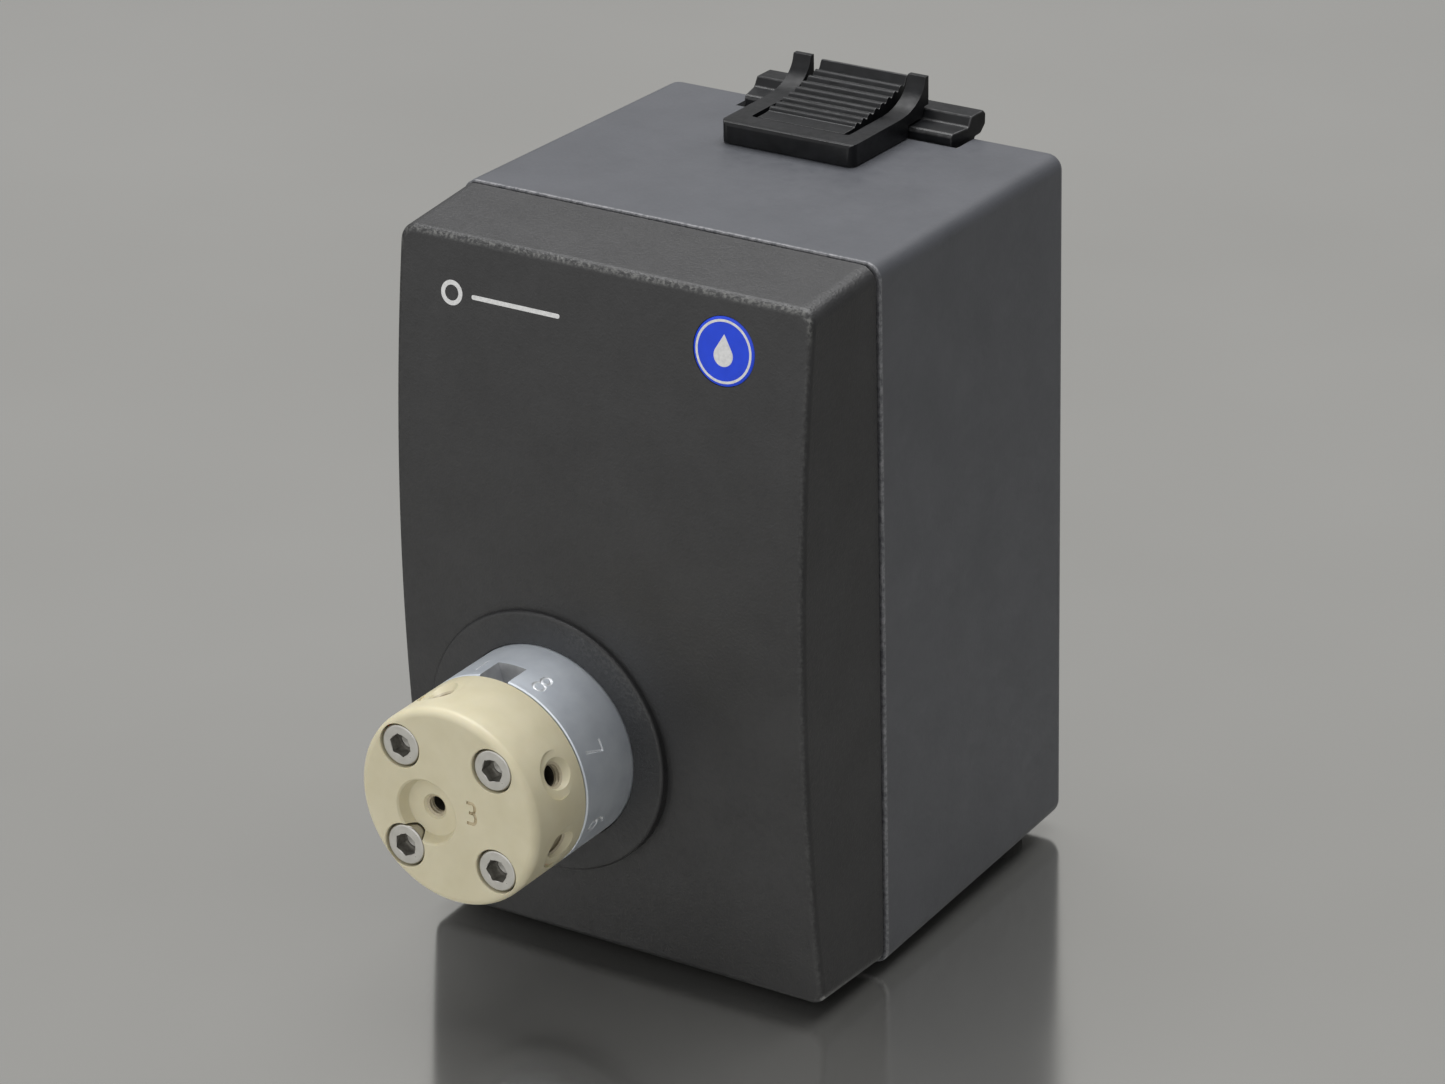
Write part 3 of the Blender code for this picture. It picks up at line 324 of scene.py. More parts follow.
def add_prism(bm, outline, low, high, axis="Y"):
    """Extrude a closed outline: points are (X, Z) along Y, (Y, Z) along X, (X, Y) along Z."""
    spot = {
        "Y": lambda a, b, c: (a, c, b),
        "X": lambda a, b, c: (c, a, b),
        "Z": lambda a, b, c: (a, b, c),
    }[axis]
    near = [bm.verts.new(spot(a, b, low)) for a, b in outline]
    far = [bm.verts.new(spot(a, b, high)) for a, b in outline]
    bm.faces.new(near[::-1])
    bm.faces.new(far)
    for i in range(len(outline)):
        j = (i + 1) % len(outline)
        bm.faces.new((near[i], near[j], far[j], far[i]))


def add_box(bm, x, y, z):
    add_prism(bm, [(x[0], z[0]), (x[1], z[0]), (x[1], z[1]), (x[0], z[1])], y[0], y[1])


def turned(profile, centre=(0.0, 0.0), count=ROUND):
    """Turn a closed (radius, Y) profile about a line along Y through centre (X, Z)."""
    bm = bmesh.new()
    rings = []
    for radius, y in profile:
        if radius == 0.0:
            rings.append([bm.verts.new((centre[0], y, centre[1]))] * count)
        else:
            rings.append([bm.verts.new((x, y, z)) for x, z in circle(radius, centre, count)])
    for k, ring in enumerate(rings):
        following = rings[(k + 1) % len(rings)]
        for i in range(count):
            j = (i + 1) % count
            corners = list(dict.fromkeys((ring[i], ring[j], following[j], following[i])))
            if len(corners) > 2:
                bm.faces.new(corners)
    return bm


def rod(radius, low, high, centre=(0.0, 0.0), count=ROUND):
    """A plain cylinder along Y, for holes and posts."""
    return turned([(0.0, low), (radius, low), (radius, high), (0.0, high)], centre, count)


def band(inner, outer, low, high, count):
    """A flat ring about Y."""
    return turned([(inner, low), (outer, low), (outer, high), (inner, high)], count=count)


# ---------------------------------------------------------------- materials

def new_material(name, colour, roughness, metallic=0.0, specular=0.5):
    made = bpy.data.materials.new(name)
    made.use_nodes = True
    shader = made.node_tree.nodes["Principled BSDF"]
    shader.inputs["Base Color"].default_value = (*colour, 1.0)
    shader.inputs["Roughness"].default_value = roughness
    shader.inputs["Metallic"].default_value = metallic
    shader.inputs["Specular IOR Level"].default_value = specular
    made.diffuse_color = (*colour, 1.0)
    return made


def shader_of(finish):
    return finish.node_tree.nodes["Principled BSDF"]


def noise(finish, size, detail, stretch=(1.0, 1.0, 1.0), rough=0.5):
    """Noise with features of about this size in millimetres, drawn out along the stretched axes."""
    nodes = finish.node_tree.nodes
    links = finish.node_tree.links
    coords = nodes.new("ShaderNodeTexCoord")
    mapping = nodes.new("ShaderNodeMapping")
    mapping.inputs["Scale"].default_value = [1.0 / s for s in stretch]
    texture = nodes.new("ShaderNodeTexNoise")
    texture.inputs["Scale"].default_value = 1.0 / (size * MM)
    texture.inputs["Detail"].default_value = detail
    texture.inputs["Roughness"].default_value = rough
    links.new(coords.outputs["Object"], mapping.inputs["Vector"])
    links.new(mapping.outputs["Vector"], texture.inputs["Vector"])
    return texture.outputs["Fac"]


def ramp(finish, value, stops):
    """Colours or greys at places along a value: stops are (place, colour)."""
    node = finish.node_tree.nodes.new("ShaderNodeValToRGB")
    elements = node.color_ramp.elements
    while len(elements) < len(stops):
        elements.new(0.5)
    for element, (where, colour) in zip(elements, stops):
        element.position = where
        element.color = (*colour, 1.0) if len(colour) == 3 else colour
    finish.node_tree.links.new(value, node.inputs["Fac"])
    return node.outputs["Color"]


def grey(level):
    return (level, level, level)


def colour_input(finish, colour):
    finish.node_tree.links.new(colour, shader_of(finish).inputs["Base Color"])


def mottle(finish, size, detail, dark, light, low=0.3, high=0.7):
    """Vary the base colour between two colours in patches of about this size in millimetres."""
    colour_input(finish, ramp(finish, noise(finish, size, detail), [(low, dark), (high, light)]))
    return finish


def roughness_between(finish, value, low, high):
    node = finish.node_tree.nodes.new("ShaderNodeMapRange")
    node.inputs["From Min"].default_value = 0.3
    node.inputs["From Max"].default_value = 0.7
    node.inputs["To Min"].default_value = low
    node.inputs["To Max"].default_value = high
    finish.node_tree.links.new(value, node.inputs["Value"])
    finish.node_tree.links.new(node.outputs["Result"], shader_of(finish).inputs["Roughness"])


def bump(finish, value, depth):
    """Raise the surface by a value, depth in millimetres; a second call adds to the first."""
    nodes = finish.node_tree.nodes
    links = finish.node_tree.links
    node = nodes.new("ShaderNodeBump")
    node.inputs["Distance"].default_value = depth * MM
    links.new(value, node.inputs["Height"])
    normal = shader_of(finish).inputs["Normal"]
    if normal.links:
        links.new(normal.links[0].from_socket, node.inputs["Normal"])
    links.new(node.outputs["Normal"], normal)


def multiply(finish, first, second):
    node = finish.node_tree.nodes.new("ShaderNodeMath")
    node.operation = "MULTIPLY"
    finish.node_tree.links.new(first, node.inputs[0])
    finish.node_tree.links.new(second, node.inputs[1])
    return node.outputs["Value"]


def mix_colours(finish, share, first, second):
    node = finish.node_tree.nodes.new("ShaderNodeMix")
    node.data_type = "RGBA"
    links = finish.node_tree.links
    links.new(share, node.inputs["Factor"])
    colour_sockets = [s for s in node.inputs if s.type == "RGBA"]
    links.new(first, colour_sockets[0])
    colour_sockets[1].default_value = (*second, 1.0)
    return [s for s in node.outputs if s.type == "RGBA"][0]


def wear(finish, base, worn_colour, low, high):
    """Rub the base colour away in specks where the piece's wear attribute is high."""
    nodes = finish.node_tree.nodes
    attribute = nodes.new("ShaderNodeAttribute")
    attribute.attribute_name = "wear"
    specks = ramp(finish, noise(finish, 0.7, 5.0, rough=0.65), [(low, grey(0.0)), (high, grey(1.0))])
    share = multiply(finish, attribute.outputs["Fac"], specks)
    colour_input(finish, mix_colours(finish, share, base, worn_colour))


def housing_paint():
    finish = new_material("housing_paint_detail", (0.064, 0.067, 0.076), 0.46)
    shades = [(0.3, (0.059, 0.062, 0.071)), (0.7, (0.069, 0.072, 0.082))]
    base = ramp(finish, noise(finish, 14.0, 3.0), shades)
    wear(finish, base, (0.22, 0.22, 0.23), 0.36, 0.62)
    roughness_between(finish, noise(finish, 2.5, 4.0), 0.44, 0.56)
    bump(finish, noise(finish, 0.5, 2.0), 0.022)
    bump(finish, noise(finish, 6.0, 2.0), 0.02)
    return finish


def cover_plastic():
    finish = new_material("cover_plastic_detail", (0.024, 0.024, 0.025), 0.42)
    shades = [(0.3, (0.0185, 0.0185, 0.0195)), (0.7, (0.025, 0.025, 0.0262))]
    base = ramp(finish, noise(finish, 10.0, 3.0), shades)
    wear(finish, base, (0.13, 0.13, 0.125), 0.44, 0.62)
    roughness_between(finish, noise(finish, 1.2, 4.0), 0.36, 0.50)
    bump(finish, noise(finish, 0.5, 3.0), 0.09)
    return finish


def clip_plastic():
    finish = new_material("clip_plastic_detail", (0.006, 0.006, 0.0065), 0.38, specular=0.24)
    mottle(finish, 3.0, 4.0, (0.0035, 0.0038, 0.0045), (0.009, 0.0095, 0.011), 0.35, 0.75)
    roughness_between(finish, noise(finish, 1.8, 4.0), 0.30, 0.48)
    bump(finish, noise(finish, 0.8, 3.0), 0.02)
    return finish


def clip_edge_wear_and_highlight():
    """The clip's edges: the same plastic, greyer in patches, partly rubbed wear and partly a painted
    highlight on the ridges.
    """
    finish = new_material("clip_plastic_wear_and_highlight", (0.02, 0.02, 0.021), 0.42)
    colour_input(finish, ramp(finish, noise(finish, 1.2, 5.0, rough=0.65),
                              [(0.42, (0.007, 0.0072, 0.008)), (0.72, (0.04, 0.04, 0.042))]))
    bump(finish, noise(finish, 0.5, 3.0), 0.03)
    return finish


def stator_polymer():
    finish = new_material("stator_polymer_detail", (0.66, 0.59, 0.40), 0.42)
    mottle(finish, 5.0, 3.0, (0.612, 0.558, 0.387), (0.657, 0.603, 0.432))
    shader = shader_of(finish)
    shader.inputs["Subsurface Weight"].default_value = 0.12
    shader.inputs["Subsurface Scale"].default_value = 1.2 * MM
    shader.inputs["Subsurface Radius"].default_value = (1.0, 0.7, 0.35)
    roughness_between(finish, noise(finish, 1.6, 3.0), 0.36, 0.5)
    bump(finish, noise(finish, 0.35, 2.0), 0.006)
    bump(finish, noise(finish, 0.25, 1.0, stretch=(40.0, 1.0, 40.0)), 0.004)
    return finish


# Painted shade: the thread inside a port, a darker brown than the stator's cream.
def port_wall_shade():
    return mottle(new_material("port_wall_shade", (0.46, 0.40, 0.28), 0.4),
                  0.8, 3.0, (0.42, 0.36, 0.25), (0.52, 0.46, 0.33))


def port_depth():
    """The part of a port that hardly any light reaches."""
    return mottle(new_material("port_depth", (0.03, 0.025, 0.018), 0.6),
                  0.8, 2.0, (0.024, 0.020, 0.014), (0.04, 0.033, 0.024))


def aluminium():
    """Satin turned aluminium: fine lathe marks round the valve's axis."""
    finish = new_material("aluminium_turned", (0.66, 0.70, 0.76), 0.5, 0.75)
    mottle(finish, 5.0, 4.0, (0.74, 0.79, 0.86), (0.84, 0.89, 0.95))
    marks = noise(finish, 0.14, 2.0, stretch=(60.0, 1.0, 60.0))
    roughness_between(finish, marks, 0.42, 0.56)
    bump(finish, marks, 0.004)
    return finish


def machined_notch():
    finish = new_material("machined_notch", (0.50, 0.51, 0.53), 0.55, 0.6)
    mottle(finish, 2.0, 3.0, (0.44, 0.45, 0.47), (0.55, 0.56, 0.58))
    bump(finish, noise(finish, 0.2, 2.0, stretch=(1.0, 1.0, 30.0)), 0.006)
    return finish


# Painted highlight: a light, less metallic fill for the ring's digit grooves, standing in for the bright
# edges of the cut.
def engraving_highlight():
    return mottle(new_material("engraving_highlight", (0.80, 0.82, 0.85), 0.45, 0.3),
                  0.5, 2.0, (0.70, 0.72, 0.75), (0.86, 0.88, 0.90))


def engraved_polymer():
    return mottle(new_material("engraved_polymer", (0.45, 0.38, 0.24), 0.55),
                  0.5, 2.0, (0.50, 0.42, 0.27), (0.60, 0.52, 0.35))


def steel():
    finish = new_material("steel_detail", (0.50, 0.49, 0.46), 0.3, 1.0)
    mottle(finish, 2.5, 2.0, (0.46, 0.45, 0.42), (0.54, 0.53, 0.50))
    roughness_between(finish, noise(finish, 1.6, 2.0), 0.27, 0.36)
    bump(finish, noise(finish, 2.0, 2.0), 0.004)
    return finish


def socket_shade_steel():
    """Painted shade: a darker steel for the inside of a screw's hexagon socket."""
    return mottle(new_material("steel_socket_shade", (0.20, 0.19, 0.17), 0.4, 0.9),
                  0.8, 3.0, (0.26, 0.25, 0.23), (0.42, 0.41, 0.38))


def satin_sheet():
    """Brushed sheet metal, its grain along X."""
    finish = new_material("sheet_metal", (0.55, 0.56, 0.58), 0.35, 1.0)
    grain = noise(finish, 0.2, 2.0, stretch=(60.0, 1.0, 1.0))
    colour_input(finish, ramp(finish, grain, [(0.3, (0.48, 0.49, 0.51)), (0.7, (0.60, 0.61, 0.63))]))
    roughness_between(finish, grain, 0.28, 0.42)
    bump(finish, grain, 0.004)
    return finish


def rubber():
    finish = new_material("rubber_detail", (0.016, 0.016, 0.016), 0.75)
    mottle(finish, 2.0, 4.0, grey(0.012), grey(0.024))
    roughness_between(finish, noise(finish, 1.0, 3.0), 0.65, 0.85)
    bump(finish, noise(finish, 0.4, 2.0), 0.02)
    return finish


def dark_plastic():
    finish = new_material("dark_plastic_detail", (0.02, 0.02, 0.022), 0.4)
    mottle(finish, 3.0, 3.0, (0.016, 0.016, 0.018), (0.028, 0.028, 0.030))
    roughness_between(finish, noise(finish, 1.0, 3.0), 0.33, 0.48)
    bump(finish, noise(finish, 0.4, 2.0), 0.01)
    return finish


def board_green():
    finish = new_material("board_green_detail", (0.02, 0.16, 0.07), 0.3)
    mottle(finish, 1.5, 2.0, (0.012, 0.11, 0.045), (0.025, 0.17, 0.075), 0.45, 0.55)
    roughness_between(finish, noise(finish, 2.0, 2.0), 0.25, 0.4)
    return finish


def brass():
    finish = new_material("brass_detail", (0.72, 0.52, 0.22), 0.28, 1.0)
    mottle(finish, 2.0, 3.0, (0.62, 0.44, 0.17), (0.78, 0.58, 0.27))
    roughness_between(finish, noise(finish, 0.6, 3.0), 0.2, 0.38)
    return finish


def badge_blue():
    finish = new_material("badge_blue_detail", (0.01, 0.06, 0.72), 0.35, specular=0.35)
    mottle(finish, 3.0, 2.0, (0.009, 0.055, 0.68), (0.012, 0.065, 0.76))
    bump(finish, noise(finish, 0.6, 2.0), 0.006)
    return finish


def print_white():
    return mottle(new_material("print_white", (0.72, 0.73, 0.74), 0.4),
                  0.7, 3.0, grey(0.64), grey(0.76), 0.3, 0.6)


# ---------------------------------------------------------------- casing

def rounded_ring(half_x, low, high, radius, y):
    """A rounded rectangle in XZ. Each side wall carries SIDE_STEPS points, the same heights left and right.

    y is a number, or a function of Z. The points run up the right side and down the left.
    """
    half = []
    for dx, dz in circle(radius, count=CORNER_STEPS + 1, start=-90.0, sweep=90.0):
        half.append((half_x - radius + dx, low + radius + dz))
    for i in range(1, SIDE_STEPS):
        half.append((half_x, low + radius + (high - low - 2.0 * radius) * i / SIDE_STEPS))
    for dx, dz in circle(radius, count=CORNER_STEPS + 1, start=0.0, sweep=90.0):
        half.append((half_x - radius + dx, high - radius + dz))
    points = half + [(-x, z) for x, z in reversed(half)]
    return [(x, y(z) if callable(y) else y, z) for x, z in points]


def loft(sections, wear_at):
    """Skin (ring, wear) sections, and close both ends with strips from side to side."""
    bm = bmesh.new()
    layer = bm.verts.layers.float.new("wear")
    made = []
    for ring, level in sections:
        verts = [bm.verts.new(p) for p in ring]
        for vert in verts:
            vert[layer] = level * wear_at(vert.co)
        made.append(verts)
    count = len(made[0])
    for low, high in zip(made, made[1:]):
        for i in range(count):
            j = (i + 1) % count
            bm.faces.new((low[i], low[j], high[j], high[i]))
    for ring in (made[0], made[-1]):
        for i in range(count // 2 - 1):
            bm.faces.new((ring[i], ring[i + 1], ring[count - 2 - i], ring[count - 1 - i]))
    return bm


def seam_edge(size):
    """The (inset, setback) steps of a small rounded edge at the seam."""
    return (size, 0.0), (0.3 * size, 0.3 * size), (0.0, size)


def housing_ring(inset, y, radius):
    share = y / HOUSING_DEPTH
    return rounded_ring(HOUSING_WIDTH / 2 - SIDE_DRAFT * share - inset, BOTTOM_DRAFT * share + inset,
                        HOUSING_HEIGHT - TOP_DRAFT * share - inset, radius, y)


def housing_body():
    """The outer skin from the hollow's floor, round the seam edge and back to the rear face."""
    sections = [(housing_ring(WALL, y, 1.0), 0.0) for y in (HOUSING_DEPTH - WALL, SEAM_HALF + 0.3)]
    for inset, back in seam_edge(HOUSING_SEAM_EDGE):
        sections.append((housing_ring(inset, SEAM_HALF + back, LONG_EDGE_RADIUS - inset), 1.0))
    for y in (SEAM_HALF + 0.6, 20.0, 40.0):
        sections.append((housing_ring(0.0, y, LONG_EDGE_RADIUS), 0.0))
    steps = 8
    for i in range(steps + 1):
        angle = math.radians(90.0 * i / steps)
        inset = REAR_EDGE_RADIUS * (1.0 - math.cos(angle))
        y = HOUSING_DEPTH - REAR_EDGE_RADIUS * (1.0 - math.sin(angle))
        sections.append((housing_ring(inset, y, max(LONG_EDGE_RADIUS - inset, 0.4)), 0.0))
    return loft(sections, lambda spot: 1.0)


def case_screw_places():
    return [(x, z) for z in CASE_SCREW_Z for x in (-CASE_SCREW_X, CASE_SCREW_X)]


def plate_screw_places():
    return [(x, PLATE_Z + dz) for dz in (-PLATE_SCREW_DZ, PLATE_SCREW_DZ)
            for x in (-PLATE_SCREW_X, PLATE_SCREW_X)]


def catch_pocket():
    """The pocket in the housing's top that the catch bar sinks into, as a ready cutter."""
    bm = bmesh.new()
    add_box(bm, (BAR_LEFT_X - 0.6, BAR_RIGHT_X + 0.6), (19.45, 40.0), (-3.9, 6.0))
    return set_down("pocket", mesh_from("pocket", bm), CLIP_SEAT)


def make_housing():
    housing = new_piece("housing_detail", housing_body(), housing_paint())
    inside = []
    tray = bmesh.new()
    add_box(tray, (BAR_LEFT_X - 3.4, BAR_RIGHT_X + 3.4), (56.4, HOUSING_DEPTH - 1.0), (129.2, 134.6))
    inside.append(tray)
    for x, z in case_screw_places():
        inside.append(rod(SCREW_POST_RADIUS, SCREW_POST_START, HOUSING_DEPTH - 1.0, (x, z), 32))
    carve(housing, inside, "UNION")
    holes = [catch_pocket()]
    recess = bmesh.new()
    add_prism(recess, round_rectangle(PLATE_HALF_WIDTH + 0.4, PLATE_HALF_HEIGHT + 0.4, 1.4, (0.0, PLATE_Z)),
              HOUSING_DEPTH - 1.6, HOUSING_DEPTH + 2.0)
    holes.append(recess)
    window = bmesh.new()
    window_half = SOCKET_X + SOCKET_RADIUS + 0.4
    add_prism(window, round_rectangle(window_half, PLATE_HALF_HEIGHT - 2.5, 2.0, (0.0, PLATE_Z)),
              HOUSING_DEPTH - 8.0, HOUSING_DEPTH - 1.0)
    holes.append(window)
    for x, z in case_screw_places():
        holes.append(turned([(0.0, 30.0), (1.9, 30.0), (1.9, 63.7), (3.3, 63.7), (3.3, 67.3), (3.9, 68.2),
                             (3.9, 70.0), (0.0, 70.0)], (x, z), 40))
    carve(housing, holes)
    shade(housing, 25.0)
    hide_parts("housing_shell")
    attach(housing, "casing")


def round_rectangle(half_x, half_z, radius, centre):
    outline = []
    for sx, sz, start in ((1, 1, 0.0), (-1, 1, 90.0), (-1, -1, 180.0), (1, -1, 270.0)):
        corner = (centre[0] + sx * (half_x - radius), centre[1] + sz * (half_z - radius))
        outline += circle(radius, corner, CORNER_STEPS - 2, start, 90.0)
    return outline


def cover_front_y(z):
    """The bowed front face's Y at height z."""
    share = (z - COVER_LOW) / (COVER_HIGH - COVER_LOW)
    chord = -COVER_DEPTH_BOTTOM + (COVER_DEPTH_BOTTOM - COVER_DEPTH_TOP) * share
    return chord - 4.0 * COVER_BOW * share * (1.0 - share)


def cover_lean(z):
    """How far the bowed front leans about X at height z, in radians."""
    return -math.atan(cover_front_y(z + 0.5) - cover_front_y(z - 0.5))


def cover_ring(share, inset, radius, y):
    """A ring of the cover at a share of the way from the seam to the front."""
    half = COVER_HALF_WIDTH + (COVER_FRONT_HALF_WIDTH - COVER_HALF_WIDTH) * share
    low = 0.5 + (COVER_LOW - 0.5) * share
    high = HOUSING_HEIGHT - 0.22 + (COVER_HIGH - HOUSING_HEIGHT + 0.22) * share
    return rounded_ring(half - inset, low + inset, high - inset, radius, y)


def cover_body():
    """The cover's skin, from its hollow's front, round the lip and the seam edge to the bowed front."""
    lip_x = HOUSING_WIDTH / 2 - WALL - 0.4
    lip_low = WALL + 0.5
    lip_high = HOUSING_HEIGHT - WALL - 0.5
    sections = [(cover_ring(1.0, COVER_WALL, 1.0, lambda z: cover_front_y(z) + COVER_WALL), 0.0),
                (cover_ring(0.1, COVER_WALL, 1.0, -3.0), 0.0)]
    for inset, radius, y in ((1.6, 0.8, -2.9), (1.6, 0.8, 2.4), (0.0, 1.6, 2.4), (0.0, 1.6, -SEAM_HALF)):
        sections.append((rounded_ring(lip_x - inset, lip_low + inset, lip_high - inset, radius, y), 0.0))
    for inset, front in seam_edge(COVER_SEAM_EDGE):
        sections.append((cover_ring(0.0, inset, LONG_EDGE_RADIUS - inset, -SEAM_HALF - front), 0.3))
    sections.append((cover_ring(0.03, 0.0, LONG_EDGE_RADIUS, -SEAM_HALF - 0.6), 0.0))
    for i, level in enumerate(COVER_EDGE_WEAR):
        angle = math.radians(90.0 * i / (len(COVER_EDGE_WEAR) - 1))
        inset = COVER_EDGE_RADIUS * (1.0 - math.cos(angle))
        depth = COVER_EDGE_RADIUS * (1.0 - math.sin(angle))
        ring = cover_ring(1.0, inset, LONG_EDGE_RADIUS - inset * 0.9, lambda z, d=depth: cover_front_y(z) + d)
        sections.append((ring, level))
    return loft(sections, lambda spot: 1.0 if spot.z > COVER_HIGH - 4.0 else 0.25)


def boss_disc():
    """The round land that the valve head stands on, with its hole."""
    profile = [(BOSS_HOLE_RADIUS, BOSS_REAR_Y), (BOSS_RADIUS, BOSS_REAR_Y)]
    profile += circle(BOSS_FILLET, (BOSS_RADIUS - BOSS_FILLET, BOSS_FACE_Y + BOSS_FILLET), 7, 0.0, -90.0)
    profile += [(BOSS_RADIUS - 0.8, BOSS_FACE_Y), (BOSS_HOLE_RADIUS, BOSS_FACE_Y)]
    bm = turned(profile, (VALVE_X, VALVE_Z), 128)
    layer = bm.verts.layers.float.new("wear")
    for vert in bm.verts:
        reach = math.hypot(vert.co.x - VALVE_X, vert.co.z - VALVE_Z)
        vert[layer] = 1.0 if reach > BOSS_RADIUS - 0.7 and vert.co.y < BOSS_FACE_Y + 0.5 else 0.0
    return bm


def make_cover():
    cover = new_piece("cover_detail", cover_body(), cover_plastic())
    hole = rod(COVER_HOLE_RADIUS, -40.0, 4.0, (VALVE_X, VALVE_Z), 64)
    recess = rod(BADGE_RADIUS + 0.1, -3.0, 0.75, count=64)
    bmesh.ops.transform(recess, matrix=Matrix.Rotation(cover_lean(BADGE_Z), 4, "X"), verts=recess.verts)
    bmesh.ops.translate(recess, verts=recess.verts, vec=(BADGE_X, cover_front_y(BADGE_Z), BADGE_Z))
    carve(cover, [hole, recess])
    carve(cover, [boss_disc()], "UNION")
    shade(cover, 28.0)
    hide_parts("front_cover")
    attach(cover, "casing")


def on_cover(x, z):
    """A frame on the cover's bowed front: Y along the face's normal into the cover."""
    return place(x, cover_front_y(z), z) @ Matrix.Rotation(cover_lean(z), 4, "X")


def make_badge():
    """A plain blue disc with a white border and a plain drop."""
    radius = BADGE_RADIUS
    seat = on_cover(BADGE_X, BADGE_Z)
    profile = [(0.0, -0.10), (radius - 0.5, -0.10), (radius - 0.2, -0.04), (radius, 0.10), (radius, 0.6),
               (0.0, 0.6)]
    disc = new_piece("badge_detail", turned(profile, count=96), badge_blue(), seat)
    shade(disc)
    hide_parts("badge_disc")
    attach(disc, "casing")
    border = band(radius - 0.95, radius - 0.5, *BADGE_PRINT, 96)
    drop = bmesh.new()
    outline = [(0.0, 3.1)]
    outline += [(x, z - 0.75) for x, z in circle(1.95, count=25, start=30.0, sweep=-240.0)]
    add_prism(drop, outline, *BADGE_PRINT)
    for name, shape in (("badge_border", border), ("badge_drop", drop)):
        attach(new_piece(name, shape, print_white(), seat), "casing")


def make_printed_mark():
    """A plain ring and bar in place of the printed name."""
    icon = band(MARK_ICON_RADIUS - 0.85, MARK_ICON_RADIUS, *MARK_PRINT, 64)
    low, high = MARK_BAR_X
    bar = bmesh.new()
    add_prism(bar, round_rectangle((high - low) / 2, 0.42, 0.4, (0.0, 0.0)), *MARK_PRINT)
    for name, shape, x in (("mark_ring", icon, MARK_ICON_X), ("mark_bar", bar, (low + high) / 2)):
        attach(new_piece(name, shape, print_white(), on_cover(x, MARK_Z)), "casing")


# ---------------------------------------------------------------- digits

def digit_strokes(digit):
    """Strokes of an engraved digit in a box one wide and one high about the origin, and which are loops."""
    upper = (0.0, 0.26)
    lower = (0.0, -0.24)
    upper_bow = ellipse_arc((0.14, 0.26), (0.28, 0.24), 70.0, -90.0, 6)
    lower_bow = ellipse_arc((0.16, -0.245), (0.32, 0.255), 80.0, -90.0, 6)
    belly = ellipse_arc((0.0, -0.18), (0.46, 0.32), 130.0, -150.0)
    return {
        1: [([(-0.28, 0.30), (0.02, 0.5), (0.02, -0.5)], False)],
        2: [(ellipse_arc((0.0, 0.22), (0.46, 0.28), 160.0, -30.0) + [(-0.46, -0.5), (0.48, -0.5)], False)],
        3: [([(-0.42, 0.5), (0.10, 0.5), *upper_bow, (-0.2, 0.02)], False),
            ([(0.06, 0.01), *lower_bow, (-0.45, -0.5)], False)],
        4: [([(0.2, -0.5), (0.2, 0.5), (-0.48, -0.2), (0.48, -0.2)], False)],
        5: [([(0.4, 0.5), (-0.36, 0.5), (-0.40, 0.06), *belly], False)],
        6: [([(0.36, 0.46), (0.0, 0.44), (-0.34, 0.2), (-0.44, -0.1)], False),
            (ellipse_arc(lower, (0.44, 0.26), 0.0, 342.0, 18), True)],
        7: [([(-0.46, 0.5), (0.46, 0.5), (-0.1, -0.5)], False)],
        8: [(ellipse_arc(upper, (0.36, 0.24), 0.0, 340.0, 17), True),
            (ellipse_arc(lower, (0.46, 0.26), 0.0, 340.0, 17), True)],
    }[digit]


def groove(digit, height, finish, matrix):
    """Round-bottomed strokes of a digit as a ready cutter: X right, Z up in the matrix's frame."""
    curve = bpy.data.curves.new("groove", "CURVE")
    curve.dimensions = "3D"
    curve.bevel_depth = GROOVE_RADIUS * MM
    curve.bevel_resolution = 1
    curve.use_fill_caps = True
    for points, closed in digit_strokes(digit):
        spline = curve.splines.new("POLY")
        spline.points.add(len(points) - 1)
        for point, (u, v) in zip(spline.points, points):
            point.co = (u * height * DIGIT_WIDTH_SHARE * MM, 0.0, v * height * MM, 1.0)
        spline.use_cyclic_u = closed
    line = set_down("groove_line", curve, Matrix.Identity(4))
    bpy.context.view_layer.update()
    mesh = bpy.data.meshes.new_from_object(line.evaluated_get(bpy.context.evaluated_depsgraph_get()))
    bpy.data.objects.remove(line)
    mesh.materials.clear()
    mesh.materials.append(finish)
    return set_down(f"groove_{digit}", mesh, matrix)


# ---------------------------------------------------------------- valve head

def around_axis(degrees, radius, y):
    """A frame on the head's barrel: X round it clockwise, Y into it, Z back along the axis."""
    x, z = polar(radius, degrees)
    inward = -Vector((x, 0.0, z)).normalized()
    back = Vector((0.0, 1.0, 0.0))
    turn = Matrix((inward.cross(back), inward, back)).transposed().to_4x4()
    return place(VALVE_X + x, y, VALVE_Z + z) @ turn


def stator_screw_places():
    """Where the stator's screws are, about the head's axis."""
    return [polar(STATOR_SCREW_CIRCLE, 45 + 90 * k) for k in range(4)]


